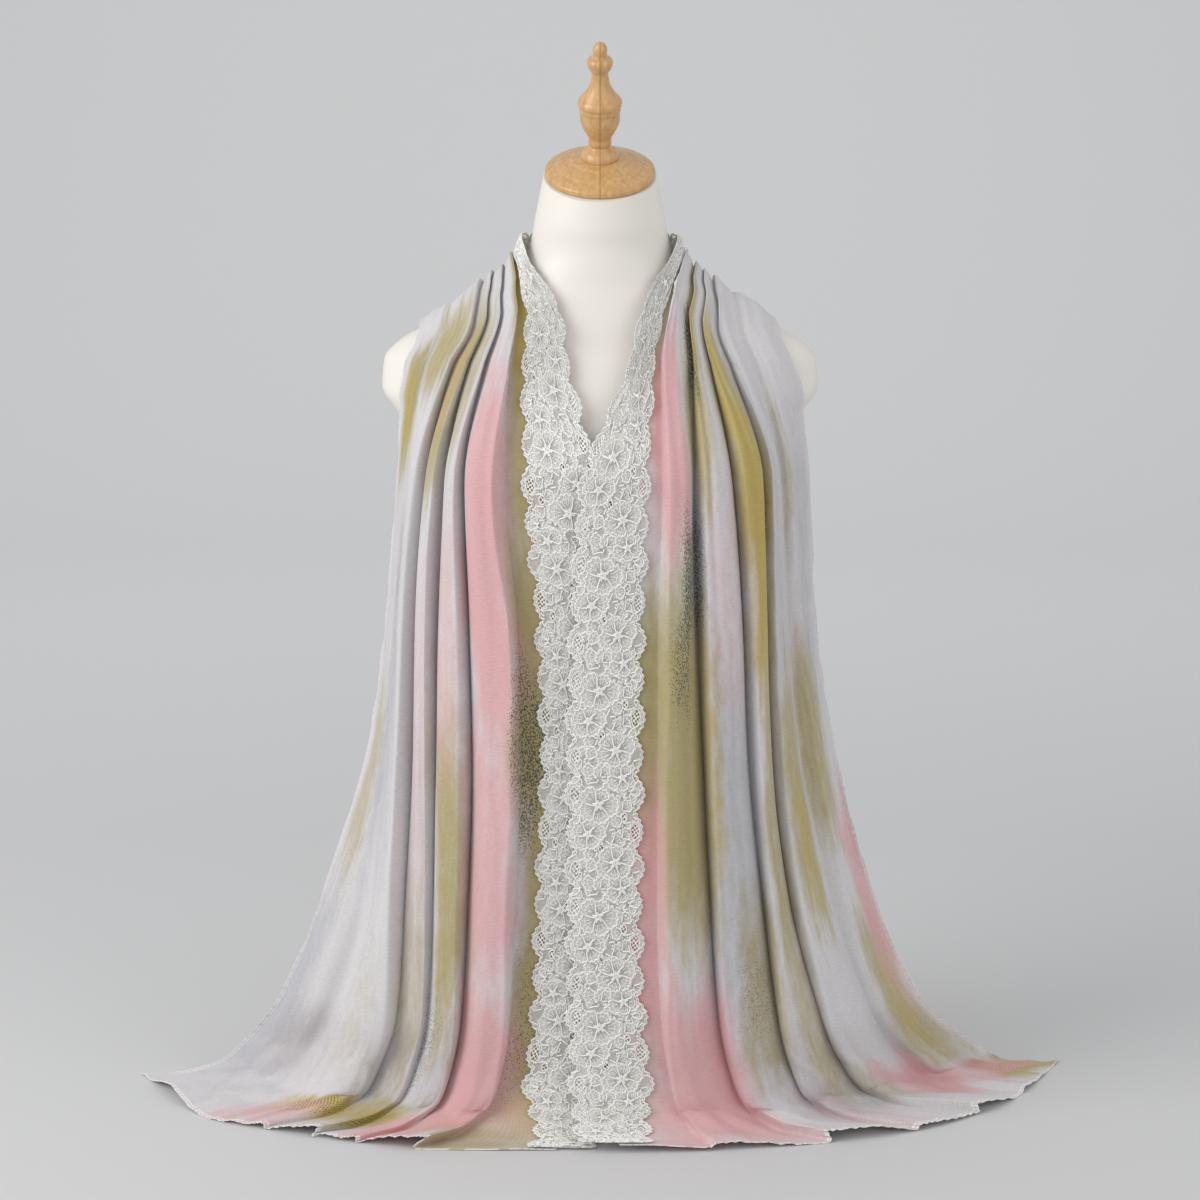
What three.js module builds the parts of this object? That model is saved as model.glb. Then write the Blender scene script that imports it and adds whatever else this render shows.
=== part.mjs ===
// A long voile scarf with a scalloped lace border, worn round the neck of a limbless dress form.
// Millimetres, +Z up, the form stands on z = 0 and faces -Y.
import * as THREE from 'three';

// ---- Driving dimensions ----
const clothWall = 1.2;            // the voile, drawn a little thicker than it is woven
const laceWall = 1.0;
const laceLift = 3.0;             // lace above the middle of the cloth it is sewn on
const seamGap = 0.3;              // left between pieces that meet
const stretchGap = 0.8;           // left between the stretches of the scarf, measured along it
const hemTurn = 6;                // turned hem along the outer edge
const hemWall = 2.0;              // the turned hem is two layers
const laceWidth = 80;
const clothUnderLace = 42;        // where the cloth's own edge lies, from the lace's free edge
const laceRepeat = 96;            // length of one repeat of the lace pattern
const scallopsInRepeat = 3;
const scallopDepth = 10;
const smallLobe = 0.78;            // every second lobe, against the others
const formClearance = 6.5;        // the fold lines' distance from the form
const leastClearance = 5.5;       // no part of the cloth's middle comes nearer
const neckTilt = 22 * Math.PI / 180;
const neckTopZ = 799;
const neckTopY = -12;
const neckTopRadius = 47;
const laceTopZ = 746;             // the lace stands up round the neck as far as this
const napeCut = 86;               // where the stretch round the nape meets the two hanging stretches

// ---- The dress form: a row for each level ----
const formSections = [
  { z: 0,   halfWidth: 122, front: 66,  back: 92 },
  { z: 30,  halfWidth: 136, front: 80,  back: 106 },
  { z: 150, halfWidth: 160, front: 103, back: 122 },
  { z: 250, halfWidth: 146, front: 94,  back: 106 },
  { z: 345, halfWidth: 116, front: 84,  back: 78 },
  { z: 430, halfWidth: 126, front: 94,  back: 76 },
  { z: 520, halfWidth: 146, front: 110, back: 82 },
  { z: 560, halfWidth: 156, front: 110, back: 84 },
  { z: 596, halfWidth: 168, front: 94,  back: 82 },
  { z: 622, halfWidth: 184, front: 80,  back: 76 },
  { z: 645, halfWidth: 182, front: 70,  back: 70 },
  { z: 660, halfWidth: 169, front: 64,  back: 66 },
  { z: 675, halfWidth: 142, front: 61,  back: 63 },
  { z: 698, halfWidth: 102, front: 57,  back: 61 },
  { z: 715, halfWidth: 75,  front: 55,  back: 58 },
  { z: 735, halfWidth: 60,  front: 55,  back: 52 },
  { z: 765, halfWidth: 54,  front: 58,  back: 43 },
  { z: neckTopZ, halfWidth: neckTopRadius, front: neckTopRadius - neckTopY, back: neckTopRadius + neckTopY },
];
const tiltStartZ = 745;

// ---- The scarf: levels of the hanging part, each an ellipse that the fold lines lie on ----
// along: distance along the scarf from the centre back. sag: how far the outer edge is below the inner.
const levels = [
  { name: 'collar', along: 190, z: 694, sag: 30, halfWidth: 0,   depth: 0,   centreY: 0 },
  { name: 'chest',  along: 245, z: 645, sag: 6,  halfWidth: 0,   depth: 0,   centreY: 0 },
  { name: 'bust',   along: 335, z: 556, sag: 0,  halfWidth: 184, depth: 122, centreY: 0 },
  { name: 'waist',  along: 455, z: 436, sag: 0,  halfWidth: 192, depth: 122, centreY: 0 },
  { name: 'hip',    along: 570, z: 320, sag: 0,  halfWidth: 208, depth: 122, centreY: 0 },
  { name: 'knee',   along: 685, z: 205, sag: 0,  halfWidth: 242, depth: 124, centreY: 2 },
  { name: 'shin',   along: 790, z: 98,  sag: 0,  halfWidth: 290, depth: 126, centreY: 8 },
];
const shoulderAlong = 135;
const floorAlong = 885;
const hemAlong = 960;
const backSweep = [{ along: 36, angle: Math.PI / 6 }, { along: 70, angle: Math.PI / 3 }];
// where the scarf comes up the back of the shoulder: how far in, and how far below the slope's top
const yoke = { along: 104, inward: 0.92, drop: 24 };
const overlap = 8;                // the right side's lace lies this far in front of the left side's
const overlapLines = 2;           // the number of fold lines over which that fades to nothing
const floorTurn = 34;             // how far before and after the floor each fold line starts to turn
const hemZ = 0.7;

// cloth: each fold line's place across the scarf. nape: how far below the lace's top it hangs at the
// centre back. standOff: how far it hangs off the form there.
const foldLines = [
  { cloth: 0,   nape: 0,   standOff: 0 },
  { cloth: 92,  nape: 62,  standOff: 4 },
  { cloth: 196, nape: 112, standOff: 8 },
  { cloth: 282, nape: 160, standOff: 12 },
  { cloth: 368, nape: 212, standOff: 14 },
  { cloth: 486, nape: 268, standOff: 12 },
  { cloth: 620, nape: 326, standOff: 6 },
];

// A row for each fold line, from the lace's free edge to the outer edge. shoulder: distance down the
// shoulder slope. The named levels: distance from the centre line.
const leftLines = [
  { shoulder: 0,   collar: 31,  chest: 22,  bust: -2,  waist: -9,  hip: -11, knee: -11, shin: -11 },
  { shoulder: 21,  collar: 66,  chest: 71,  bust: 73,  waist: 63,  hip: 60,  knee: 65,  shin: 70 },
  { shoulder: 35,  collar: 83,  chest: 96,  bust: 111, waist: 108, hip: 106, knee: 110, shin: 117 },
  { shoulder: 47,  collar: 95,  chest: 110, bust: 127, waist: 134, hip: 137, knee: 140, shin: 146 },
  { shoulder: 57,  collar: 106, chest: 123, bust: 142, waist: 152, hip: 157, knee: 164, shin: 172 },
  { shoulder: 85,  collar: 130, chest: 143, bust: 158, waist: 168, hip: 179, knee: 200, shin: 228 },
  { shoulder: 113, collar: 153, chest: 163, bust: 170, waist: 181, hip: 198, knee: 233, shin: 275 },
];
const rightLines = [
  { shoulder: 0,   collar: 33,  chest: 20,  bust: -20, waist: -28, hip: -31, knee: -31, shin: -31 },
  { shoulder: 19,  collar: 56,  chest: 49,  bust: 49,  waist: 46,  hip: 46,  knee: 46,  shin: 50 },
  { shoulder: 33,  collar: 74,  chest: 77,  bust: 77,  waist: 80,  hip: 86,  knee: 92,  shin: 100 },
  { shoulder: 43,  collar: 86,  chest: 93,  bust: 108, waist: 118, hip: 124, knee: 136, shin: 150 },
  { shoulder: 53,  collar: 98,  chest: 110, bust: 134, waist: 137, hip: 143, knee: 158, shin: 186 },
  { shoulder: 71,  collar: 120, chest: 131, bust: 150, waist: 157, hip: 170, knee: 192, shin: 228 },
  { shoulder: 113, collar: 153, chest: 164, bust: 175, waist: 182, hip: 201, knee: 230, shin: 274 },
];

// Where each fold line meets the floor and where it ends at the hem, as [x, y].
const leftEnds = [
  { floor: [-6, -124], hem: [2, -164] },
  { floor: [84, -110], hem: [146, -162] },
  { floor: [134, -99], hem: [204, -146] },
  { floor: [166, -84], hem: [243, -132] },
  { floor: [200, -68], hem: [284, -114] },
  { floor: [264, -28], hem: [345, -78] },
  { floor: [338, 32], hem: [408, 26] },
];
const rightEnds = [
  { floor: [-28, -130], hem: [-20, -172] },
  { floor: [62, -114], hem: [88, -166] },
  { floor: [118, -102], hem: [192, -146] },
  { floor: [172, -82], hem: [268, -118] },
  { floor: [222, -52], hem: [326, -76] },
  { floor: [282, -12], hem: [368, -28] },
  { floor: [358, 46], hem: [414, 62] },
];

// A row for each stretch between two fold lines: how far its ridge rises there, and its pinch, which
// makes the ridge broad and the valley narrow.
const leftRidges = [
  { nape: 2,  shoulder: 2,  chest: 2,  bust: 2,  waist: 2,  knee: 3,  floor: 2,  hem: 2,  pinch: 0.00 },
  { nape: 21, shoulder: 6,  chest: 14, bust: 22, waist: 24, knee: 25, floor: 12, hem: 11, pinch: 0.11 },
  { nape: 22, shoulder: 5,  chest: 12, bust: 18, waist: 21, knee: 22, floor: 10, hem: 6,  pinch: 0.09 },
  { nape: 22, shoulder: 6,  chest: 12, bust: 17, waist: 20, knee: 13, floor: 8,  hem: 9,  pinch: 0.08 },
  { nape: 22, shoulder: 5,  chest: 11, bust: 15, waist: 17, knee: 22, floor: 11, hem: 6,  pinch: 0.07 },
  { nape: 18, shoulder: 3,  chest: 3,  bust: 3,  waist: 3,  knee: 5,  floor: 7,  hem: 9,  pinch: 0.03 },
];
const rightRidges = [
  { nape: 2,  shoulder: 2,  chest: 2,  bust: 2,  waist: 2,  knee: 3,  floor: 2,  hem: 2,  pinch: 0.00 },
  { nape: 21, shoulder: 6,  chest: 10, bust: 17, waist: 21, knee: 22, floor: 10, hem: 5,  pinch: 0.11 },
  { nape: 22, shoulder: 6,  chest: 13, bust: 21, waist: 25, knee: 24, floor: 12, hem: 11, pinch: 0.11 },
  { nape: 22, shoulder: 6,  chest: 15, bust: 21, waist: 21, knee: 21, floor: 10, hem: 6,  pinch: 0.08 },
  { nape: 22, shoulder: 6,  chest: 11, bust: 13, waist: 13, knee: 16, floor: 11, hem: 10, pinch: 0.06 },
  { nape: 18, shoulder: 4,  chest: 6,  bust: 7,  waist: 6,  knee: 7,  floor: 8,  hem: 6,  pinch: 0.03 },
];
const ridgeStops = [
  { name: 'nape', along: 0 },
  { name: 'shoulder', along: shoulderAlong },
  { name: 'chest', along: 245 },
  { name: 'bust', along: 335 },
  { name: 'waist', along: 455 },
  { name: 'knee', along: 685 },
  { name: 'floor', along: floorAlong },
  { name: 'hem', along: hemAlong },
];
// How far a ridge leans towards the lace, as a share of its height. At the nape it droops instead.
const leanStops = { along: [0, shoulderAlong, 245, floorAlong, hemAlong], lean: [-0.35, 0, 0.3, 0.3, 0.15] };

// ---- How finely the walls are drawn ----
const rowsPerStretch = [2, 3, 3, 2, 2, 2, 2, 1, 2, 2, 3, 4, 2];
const stretchEnds = [
  0, 40, napeCut, shoulderAlong, 190, 245, 335, 455, 570, 685, 790,
  floorAlong - floorTurn, floorAlong + floorTurn, hemAlong,
];
const columnsPerStretch = [4, 6, 6, 6, 6, 6];
const laceStep = 8;
const laceColumns = 3;
const formSides = 40;
const formRings = [2, 2, 2, 2, 2, 2, 1, 1, 1, 1, 1, 1, 1, 1, 1, 1, 1];
const latheSides = 24;
// steps used to measure the surface's direction, along and across, and to walk down the shoulder
const alongStep = 2;
const acrossStep = 0.02;
const slopeStep = 0.5;

const finishes = {
  shell: { color: 0xf3eee6, roughness: 0.45 },
  wood: { color: 0xb7884d, roughness: 0.35 },
  lavenderVoile: { color: 0xcfcad2, roughness: 0.85 },
  pinkVoile: { color: 0xd4abb2, roughness: 0.85 },
  oliveVoile: { color: 0xa89a62, roughness: 0.85 },
  lace: { color: 0xf4f2ee, roughness: 0.8 },
};

// ---- Small helpers ----
const lastOf = (list) => list[list.length - 1];
const mix = (a, b, t) => a + (b - a) * t;
const clamp = (x, low, high) => Math.min(high, Math.max(low, x));

// Slopes of a smooth curve through the knots that never overshoots them.
function knotSlopes(xs, ys) {
  const chords = xs.slice(1).map((x, i) => (ys[i + 1] - ys[i]) / (x - xs[i]));
  return xs.map((x, i) => {
    if (i === 0) return chords[0];
    if (i === xs.length - 1) return lastOf(chords);
    const before = chords[i - 1];
    const after = chords[i];
    if (before * after <= 0) return 0;
    const w1 = 2 * (xs[i + 1] - x) + (x - xs[i - 1]);
    const w2 = (xs[i + 1] - x) + 2 * (x - xs[i - 1]);
    return (w1 + w2) / (w1 / before + w2 / after);
  });
}

function smoothCurve(xs, ys) {
  const slopes = knotSlopes(xs, ys);
  return (x) => {
    const clamped = clamp(x, xs[0], lastOf(xs));
    let i = 0;
    while (i < xs.length - 2 && clamped > xs[i + 1]) i += 1;
    const span = xs[i + 1] - xs[i];
    const t = (clamped - xs[i]) / span;
    const keep = (1 + 2 * t) * (1 - t) * (1 - t);
    const turn = t * t * (3 - 2 * t);
    const leave = t * (1 - t) * (1 - t) * span;
    const arrive = t * t * (t - 1) * span;
    return keep * ys[i] + turn * ys[i + 1] + leave * slopes[i] + arrive * slopes[i + 1];
  };
}

// Position on a smooth curve through evenly numbered points, at the real number q.
function throughPoints(points, q) {
  const i = clamp(Math.floor(q), 0, points.length - 2);
  const t = q - i;
  const a = points[i];
  const b = points[i + 1];
  const slopeAt = (k) => {
    if (k === 0) return points[1].clone().sub(points[0]);
    if (k === points.length - 1) return points[k].clone().sub(points[k - 1]);
    return points[k + 1].clone().sub(points[k - 1]).multiplyScalar(0.5);
  };
  return new THREE.Vector3()
    .addScaledVector(a, (1 + 2 * t) * (1 - t) * (1 - t))
    .addScaledVector(b, t * t * (3 - 2 * t))
    .addScaledVector(slopeAt(i), t * (1 - t) * (1 - t))
    .addScaledVector(slopeAt(i + 1), t * t * (t - 1));
}

// ---- The dress form's own surface ----
const formLevels = formSections.map((s) => s.z);
const formHalfWidth = smoothCurve(formLevels, formSections.map((s) => s.halfWidth));
const formFront = smoothCurve(formLevels, formSections.map((s) => s.front));
const formBack = smoothCurve(formLevels, formSections.map((s) => s.back));

// A point is moved straight out of the form if it is nearer to it than the clearance.
function clearOfForm(point, clearance) {
  const centreY = (formBack(point.z) - formFront(point.z)) / 2;
  const halfDepth = (formBack(point.z) + formFront(point.z)) / 2 + clearance;
  const halfWidth = formHalfWidth(point.z) + clearance;
  const reach = Math.hypot(point.x / halfWidth, (point.y - centreY) / halfDepth);
  if (reach >= 1) return point;
  return new THREE.Vector3(point.x / reach, centreY + (point.y - centreY) / reach, point.z);
}

// The point that lies a given distance down the shoulder slope from the top of the lace.
function onShoulderSlope(distance) {
  let z = laceTopZ;
  let walked = 0;
  let x = formHalfWidth(z) + formClearance;
  while (walked < distance) {
    const nextX = formHalfWidth(z - slopeStep) + formClearance;
    walked += Math.hypot(slopeStep, nextX - x);
    x = nextX;
    z -= slopeStep;
  }
  return new THREE.Vector3(x, (formBack(z) - formFront(z)) / 2, z + formClearance / 2);
}

// The point on the back of the form, clear of it, at a distance from the centre line.
function onBackOfForm(x, z) {
  const centreY = (formBack(z) - formFront(z)) / 2;
  const halfDepth = (formBack(z) + formFront(z)) / 2 + formClearance;
  const halfWidth = formHalfWidth(z) + formClearance;
  return new THREE.Vector3(x, centreY + halfDepth * Math.sqrt(Math.max(0, 1 - (x / halfWidth) ** 2)), z);
}

// ---- The scarf's surface ----
// One side of the scarf: a smooth path down the scarf for every fold line.
function foldLinePaths(side, lines, ends) {
  return lines.map((line, i) => {
    const lap = side > 0 ? overlap * Math.max(0, 1 - i / overlapLines) : 0;
    const share = i / (lines.length - 1);
    const { nape, standOff } = foldLines[i];
    const napeZ = laceTopZ - nape;
    const napeY = formBack(napeZ) + formClearance + standOff;
    const shoulder = onShoulderSlope(line.shoulder);
    const behindShoulder = onBackOfForm(shoulder.x * yoke.inward, shoulder.z - yoke.drop * Math.min(i, 1));
    const knots = backSweep.map(({ along, angle }) => {
      const sweep = 1 - Math.cos(angle);
      const x = behindShoulder.x * Math.sin(angle);
      const y = mix(napeY, behindShoulder.y, sweep);
      return { along, point: new THREE.Vector3(x, y, mix(napeZ, behindShoulder.z, sweep)) };
    });
    const behind = knots[0];
    const mirrored = new THREE.Vector3(-behind.point.x, behind.point.y, behind.point.z);
    knots.unshift({ along: 0, point: new THREE.Vector3(0, napeY, napeZ) });
    knots.unshift({ along: -behind.along, point: mirrored });
    knots.push({ along: yoke.along, point: behindShoulder });
    knots.push({ along: shoulderAlong, point: shoulder });
    levels.forEach((level) => {
      const x = line[level.name];
      const z = level.z - level.sag * share;
      const halfWidth = level.halfWidth || formHalfWidth(z) + formClearance;
      const depth = level.depth || (formFront(z) + formBack(z)) / 2 + formClearance;
      const centreY = level.depth ? level.centreY : (formBack(z) - formFront(z)) / 2;
      const y = centreY - depth * Math.sqrt(Math.max(0, 1 - (x / halfWidth) ** 2));
      knots.push({ along: level.along, point: new THREE.Vector3(x, y - lap, z) });
    });
    const { floor: [floorX, floorY], hem: [hemX, hemY] } = ends[i];
    const corner = new THREE.Vector3(floorX, floorY - lap, hemZ + lap);
    const hem = new THREE.Vector3(hemX, hemY, hemZ + lap);
    const above = corner.clone().add(lastOf(knots).point.clone().sub(corner).setLength(floorTurn));
    const beyond = corner.clone().add(hem.clone().sub(corner).setLength(floorTurn));
    const turned = above.clone().add(beyond).multiplyScalar(0.25).addScaledVector(corner, 0.5);
    knots.push({ along: floorAlong - floorTurn, point: above });
    knots.push({ along: floorAlong, point: turned });
    knots.push({ along: floorAlong + floorTurn, point: beyond });
    knots.push({ along: hemAlong, point: hem });
    const alongs = knots.map((k) => k.along);
    const [x, y, z] = ['x', 'y', 'z'].map((axis) => smoothCurve(alongs, knots.map((k) => k.point[axis])));
    return (u) => new THREE.Vector3(side * x(u), y(u), z(u));
  });
}

function sideOfScarf(side, lines, ends, ridges) {
  const paths = foldLinePaths(side, lines, ends);
  const stops = ridgeStops.map((stop) => stop.along);
  const rises = ridges.map((row) => smoothCurve(stops, ridgeStops.map((stop) => row[stop.name])));
  const lean = smoothCurve(leanStops.along, leanStops.lean);
  const base = (u, q) => clearOfForm(throughPoints(paths.map((path) => path(u)), q), formClearance);
  // u: along the scarf from the centre back. q: across it, a whole number at each fold line.
  const surface = (u, q) => {
    const strip = clamp(Math.floor(q), 0, ridges.length - 1);
    const s = q - strip;
    const warped = strip + s - ridges[strip].pinch * Math.sin(2 * Math.PI * s);
    const point = base(u, warped);
    const across = base(u, warped + acrossStep).sub(base(u, warped - acrossStep));
    const down = base(u + alongStep, warped).sub(base(u - alongStep, warped));
    const outward = new THREE.Vector3().crossVectors(down, across).multiplyScalar(side).normalize();
    const height = rises[strip](u) * Math.sin(Math.PI * s) ** 2;
    point.addScaledVector(outward, height);
    point.addScaledVector(across.normalize(), -lean(u) * height);
    return clearOfForm(point, leastClearance);
  };
  const outwardAt = (u, q) => {
    const nextQ = Math.min(q + acrossStep, ridges.length);
    const across = surface(u, nextQ).sub(surface(u, Math.max(q - acrossStep, 0)));
    const down = surface(u + alongStep, q).sub(surface(u - alongStep, q));
    return new THREE.Vector3().crossVectors(down, across).multiplyScalar(side).normalize();
  };
  return { surface, outwardAt };
}

const leftSide = sideOfScarf(-1, leftLines, leftEnds, leftRidges);
const rightSide = sideOfScarf(1, rightLines, rightEnds, rightRidges);

const clothToLine = smoothCurve(foldLines.map((line) => line.cloth), foldLines.map((line, i) => i));
const outerCloth = lastOf(foldLines).cloth;

// A point on the wall: u is negative on the left side and positive on the right.
function pointAt(u, q, lift) {
  const half = u < 0 ? leftSide : rightSide;
  const along = Math.abs(u);
  return half.surface(along, q).addScaledVector(half.outwardAt(along, q), lift);
}

// ---- Closed walls ----
// rows and columns of points, with an outer and an inner face, closed round all four edges.
function closedWall(rowCount, columnCount, outerAt, innerAt) {
  const positions = [];
  const index = [];
  [outerAt, innerAt].forEach((at) => {
    for (let r = 0; r < rowCount; r += 1) {
      for (let c = 0; c < columnCount; c += 1) positions.push(...at(r, c).toArray());
    }
  });
  const outer = (r, c) => r * columnCount + c;
  const inner = (r, c) => rowCount * columnCount + r * columnCount + c;
  const quad = (a, b, c, d) => index.push(a, b, c, a, c, d);
  for (let r = 0; r < rowCount - 1; r += 1) {
    for (let c = 0; c < columnCount - 1; c += 1) {
      quad(outer(r, c), outer(r, c + 1), outer(r + 1, c + 1), outer(r + 1, c));
      quad(inner(r, c), inner(r + 1, c), inner(r + 1, c + 1), inner(r, c + 1));
    }
    const last = columnCount - 1;
    quad(outer(r, 0), outer(r + 1, 0), inner(r + 1, 0), inner(r, 0));
    quad(outer(r, last), inner(r, last), inner(r + 1, last), outer(r + 1, last));
  }
  for (let c = 0; c < columnCount - 1; c += 1) {
    const last = rowCount - 1;
    quad(outer(0, c), inner(0, c), inner(0, c + 1), outer(0, c + 1));
    quad(outer(last, c), outer(last, c + 1), inner(last, c + 1), inner(last, c));
  }
  const geometry = new THREE.BufferGeometry();
  geometry.setAttribute('position', new THREE.Float32BufferAttribute(positions, 3));
  geometry.setIndex(index);
  return facingOut(geometry);
}

// Turns the triangles over if they enclose a negative volume.
function facingOut(geometry) {
  const position = geometry.attributes.position;
  const index = geometry.index.array;
  const [a, b, c] = [new THREE.Vector3(), new THREE.Vector3(), new THREE.Vector3()];
  let volume = 0;
  for (let i = 0; i < index.length; i += 3) {
    a.fromBufferAttribute(position, index[i]);
    b.fromBufferAttribute(position, index[i + 1]);
    c.fromBufferAttribute(position, index[i + 2]);
    volume += a.dot(b.cross(c));
  }
  if (volume < 0) {
    for (let i = 0; i < index.length; i += 3) [index[i + 1], index[i + 2]] = [index[i + 2], index[i + 1]];
  }
  geometry.computeVertexNormals();
  return geometry;
}

// Row places from the centre back to the hem, closer where the scarf turns.
const sideRows = [0];
rowsPerStretch.forEach((count, i) => {
  for (let k = 1; k <= count; k += 1) sideRows.push(mix(stretchEnds[i], stretchEnds[i + 1], k / count));
});

// Column places from the cloth's inner edge to its hem.
const clothColumns = [];
columnsPerStretch.forEach((count, i) => {
  const start = i === 0 ? clothToLine(clothUnderLace) : i;
  for (let k = 0; k < count; k += 1) clothColumns.push(mix(start, i + 1, k / count));
});
clothColumns.push(clothToLine(outerCloth - hemTurn), clothToLine(outerCloth));

function rowsBetween(start, end, candidates) {
  const inside = candidates.filter((u) => u > start + 1 && u < end - 1);
  return [start, ...inside, end];
}

const mirroredRows = [...sideRows.slice(1).reverse().map((u) => -u), ...sideRows];

// The underside is flat where it lies on the floor.
function onOrAboveFloor(point) {
  point.z = Math.max(point.z, 0);
  return point;
}

function clothStretch(start, end) {
  const rows = rowsBetween(start, end, mirroredRows);
  const hemColumn = clothColumns.length - 2;
  const wallAt = (c) => (c >= hemColumn ? hemWall : clothWall) / 2;
  const outerAt = (r, c) => pointAt(rows[r], clothColumns[c], wallAt(c));
  const innerAt = (r, c) => onOrAboveFloor(pointAt(rows[r], clothColumns[c], -wallAt(c)));
  return closedWall(rows.length, clothColumns.length, outerAt, innerAt);
}

// Both edges of the lace are scalloped: a row of rounded lobes, every second one larger.
function scallop(u) {
  const turn = Math.abs(u) / laceRepeat * scallopsInRepeat;
  const lobe = Math.abs(Math.sin(Math.PI * turn));
  const size = Math.floor(turn) % 2 === 0 ? 1 : smallLobe;
  return scallopDepth * (1 - lobe * size);
}

// A point on the flat stretch between two of the cloth's rows, so that the lace follows the cloth's wall.
function pointBetweenRows(u, q, lift) {
  let r = 0;
  while (r < mirroredRows.length - 2 && u > mirroredRows[r + 1]) r += 1;
  const [before, after] = [mirroredRows[r], mirroredRows[r + 1]];
  return pointAt(before, q, lift).lerp(pointAt(after, q, lift), (u - before) / (after - before));
}

function laceStretch(start, end) {
  const count = Math.ceil((end - start) / laceStep);
  const rows = Array.from({ length: count + 1 }, (_, r) => mix(start, end, r / count));
  const clothAt = (r, c) => {
    const inset = scallop(rows[r]);
    return mix(inset, laceWidth - inset, c / laceColumns);
  };
  const at = (r, c, lift) => pointBetweenRows(rows[r], clothToLine(clothAt(r, c)), lift);
  const outerAt = (r, c) => at(r, c, laceLift + laceWall / 2);
  const innerAt = (r, c) => at(r, c, laceLift - laceWall / 2);
  return closedWall(rows.length, laceColumns + 1, outerAt, innerAt);
}

// ---- The dress form ----
function torsoGeometry() {
  const ringZ = [formSections[0].z];
  formRings.forEach((count, i) => {
    const next = formSections[i + 1].z;
    for (let k = 1; k <= count; k += 1) ringZ.push(mix(formSections[i].z, next, k / count));
  });
  const positions = [];
  ringZ.forEach((z) => {
    const centreY = (formBack(z) - formFront(z)) / 2;
    const halfDepth = (formBack(z) + formFront(z)) / 2;
    const tilt = Math.tan(neckTilt) * clamp((z - tiltStartZ) / (neckTopZ - tiltStartZ), 0, 1);
    for (let k = 0; k < formSides; k += 1) {
      const angle = 2 * Math.PI * k / formSides;
      const y = halfDepth * Math.sin(angle);
      positions.push(formHalfWidth(z) * Math.cos(angle), centreY + y, z + y * tilt);
    }
  });
  const index = [];
  for (let r = 0; r < ringZ.length - 1; r += 1) {
    for (let k = 0; k < formSides; k += 1) {
      const next = (k + 1) % formSides;
      const [a, b] = [r * formSides + k, r * formSides + next];
      index.push(a, b, b + formSides, a, b + formSides, a + formSides);
    }
  }
  const top = (ringZ.length - 1) * formSides;
  for (let k = 1; k < formSides - 1; k += 1) {
    index.push(0, k + 1, k);
    index.push(top, top + k, top + k + 1);
  }
  const geometry = new THREE.BufferGeometry();
  geometry.setAttribute('position', new THREE.Float32BufferAttribute(positions, 3));
  geometry.setIndex(index);
  return facingOut(geometry);
}

// A turned piece: its outline as [radius, height] pairs, turned about the neck's tilted axis.
function turnedPiece(outline, baseHeight) {
  const geometry = new THREE.LatheGeometry(outline.map(([r, h]) => new THREE.Vector2(r, h)), latheSides);
  geometry.rotateX(Math.PI / 2);
  geometry.translate(0, 0, baseHeight);
  geometry.rotateX(neckTilt);
  geometry.translate(0, neckTopY, neckTopZ);
  return geometry;
}

// The cap is a low dome with two concentric steps.
const capOutline = [
  [0, 0], [45, 0], [46, 1.4], [46, 3.8], [44.6, 5.6], [40.5, 7.6], [36.4, 9.0], [35.4, 9.9],
  [33.6, 10.8], [28, 12.4], [24.4, 13.4], [23.6, 14.2], [21.5, 14.9], [17.5, 16], [0, 16],
];
// The finial has a cup at the foot, a rim, a bell above it and an acorn at the top.
const finialOutline = [
  [0, 0], [15.6, 0], [15.6, 1.6], [14.3, 5.2], [10.9, 8.4], [8.8, 11.0], [9.5, 12.6], [9.8, 15.2],
  [9.3, 17.3], [11.0, 20.9], [14.3, 27.2], [16.5, 34.6], [16.5, 41.4], [17.4, 44.0], [17.1, 45.6],
  [18.4, 48.8], [18.0, 50.9], [14.5, 55.5], [10.0, 61.8], [7.6, 69.1], [6.8, 75.2], [9.3, 79.8],
  [10.7, 84.9], [9.5, 88.0], [5.5, 90.7], [6.0, 95.9], [5.0, 99.4], [2.8, 101.8], [0, 102.5],
];

// ---- Assembly ----
const group = new THREE.Group();

function addPiece(name, geometry, { color, roughness }) {
  const material = new THREE.MeshStandardMaterial({ color, roughness, metalness: 0 });
  const mesh = new THREE.Mesh(geometry, material);
  mesh.name = name;
  group.add(mesh);
}

const halfGap = stretchGap / 2;
const capHeight = lastOf(capOutline)[1];

addPiece('form_torso', torsoGeometry(), finishes.shell);
addPiece('neck_cap', turnedPiece(capOutline, seamGap), finishes.wood);
addPiece('finial', turnedPiece(finialOutline, seamGap + capHeight + seamGap), finishes.wood);
addPiece('scarf_nape', clothStretch(-napeCut + halfGap, napeCut - halfGap), finishes.lavenderVoile);
addPiece('scarf_left', clothStretch(-hemAlong, -napeCut - halfGap), finishes.pinkVoile);
addPiece('scarf_right', clothStretch(napeCut + halfGap, hemAlong), finishes.oliveVoile);
addPiece('lace_nape', laceStretch(-napeCut + halfGap, napeCut - halfGap), finishes.lace);
addPiece('lace_left', laceStretch(-hemAlong, -napeCut - halfGap), finishes.lace);
addPiece('lace_right', laceStretch(napeCut + halfGap, hemAlong), finishes.lace);

export default group;
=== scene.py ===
# Long voile scarf with a lace border on a dress form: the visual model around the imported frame.
# The tables of folds and of the form repeat the part's own, in millimetres; meshes are made in metres.
import math

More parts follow.
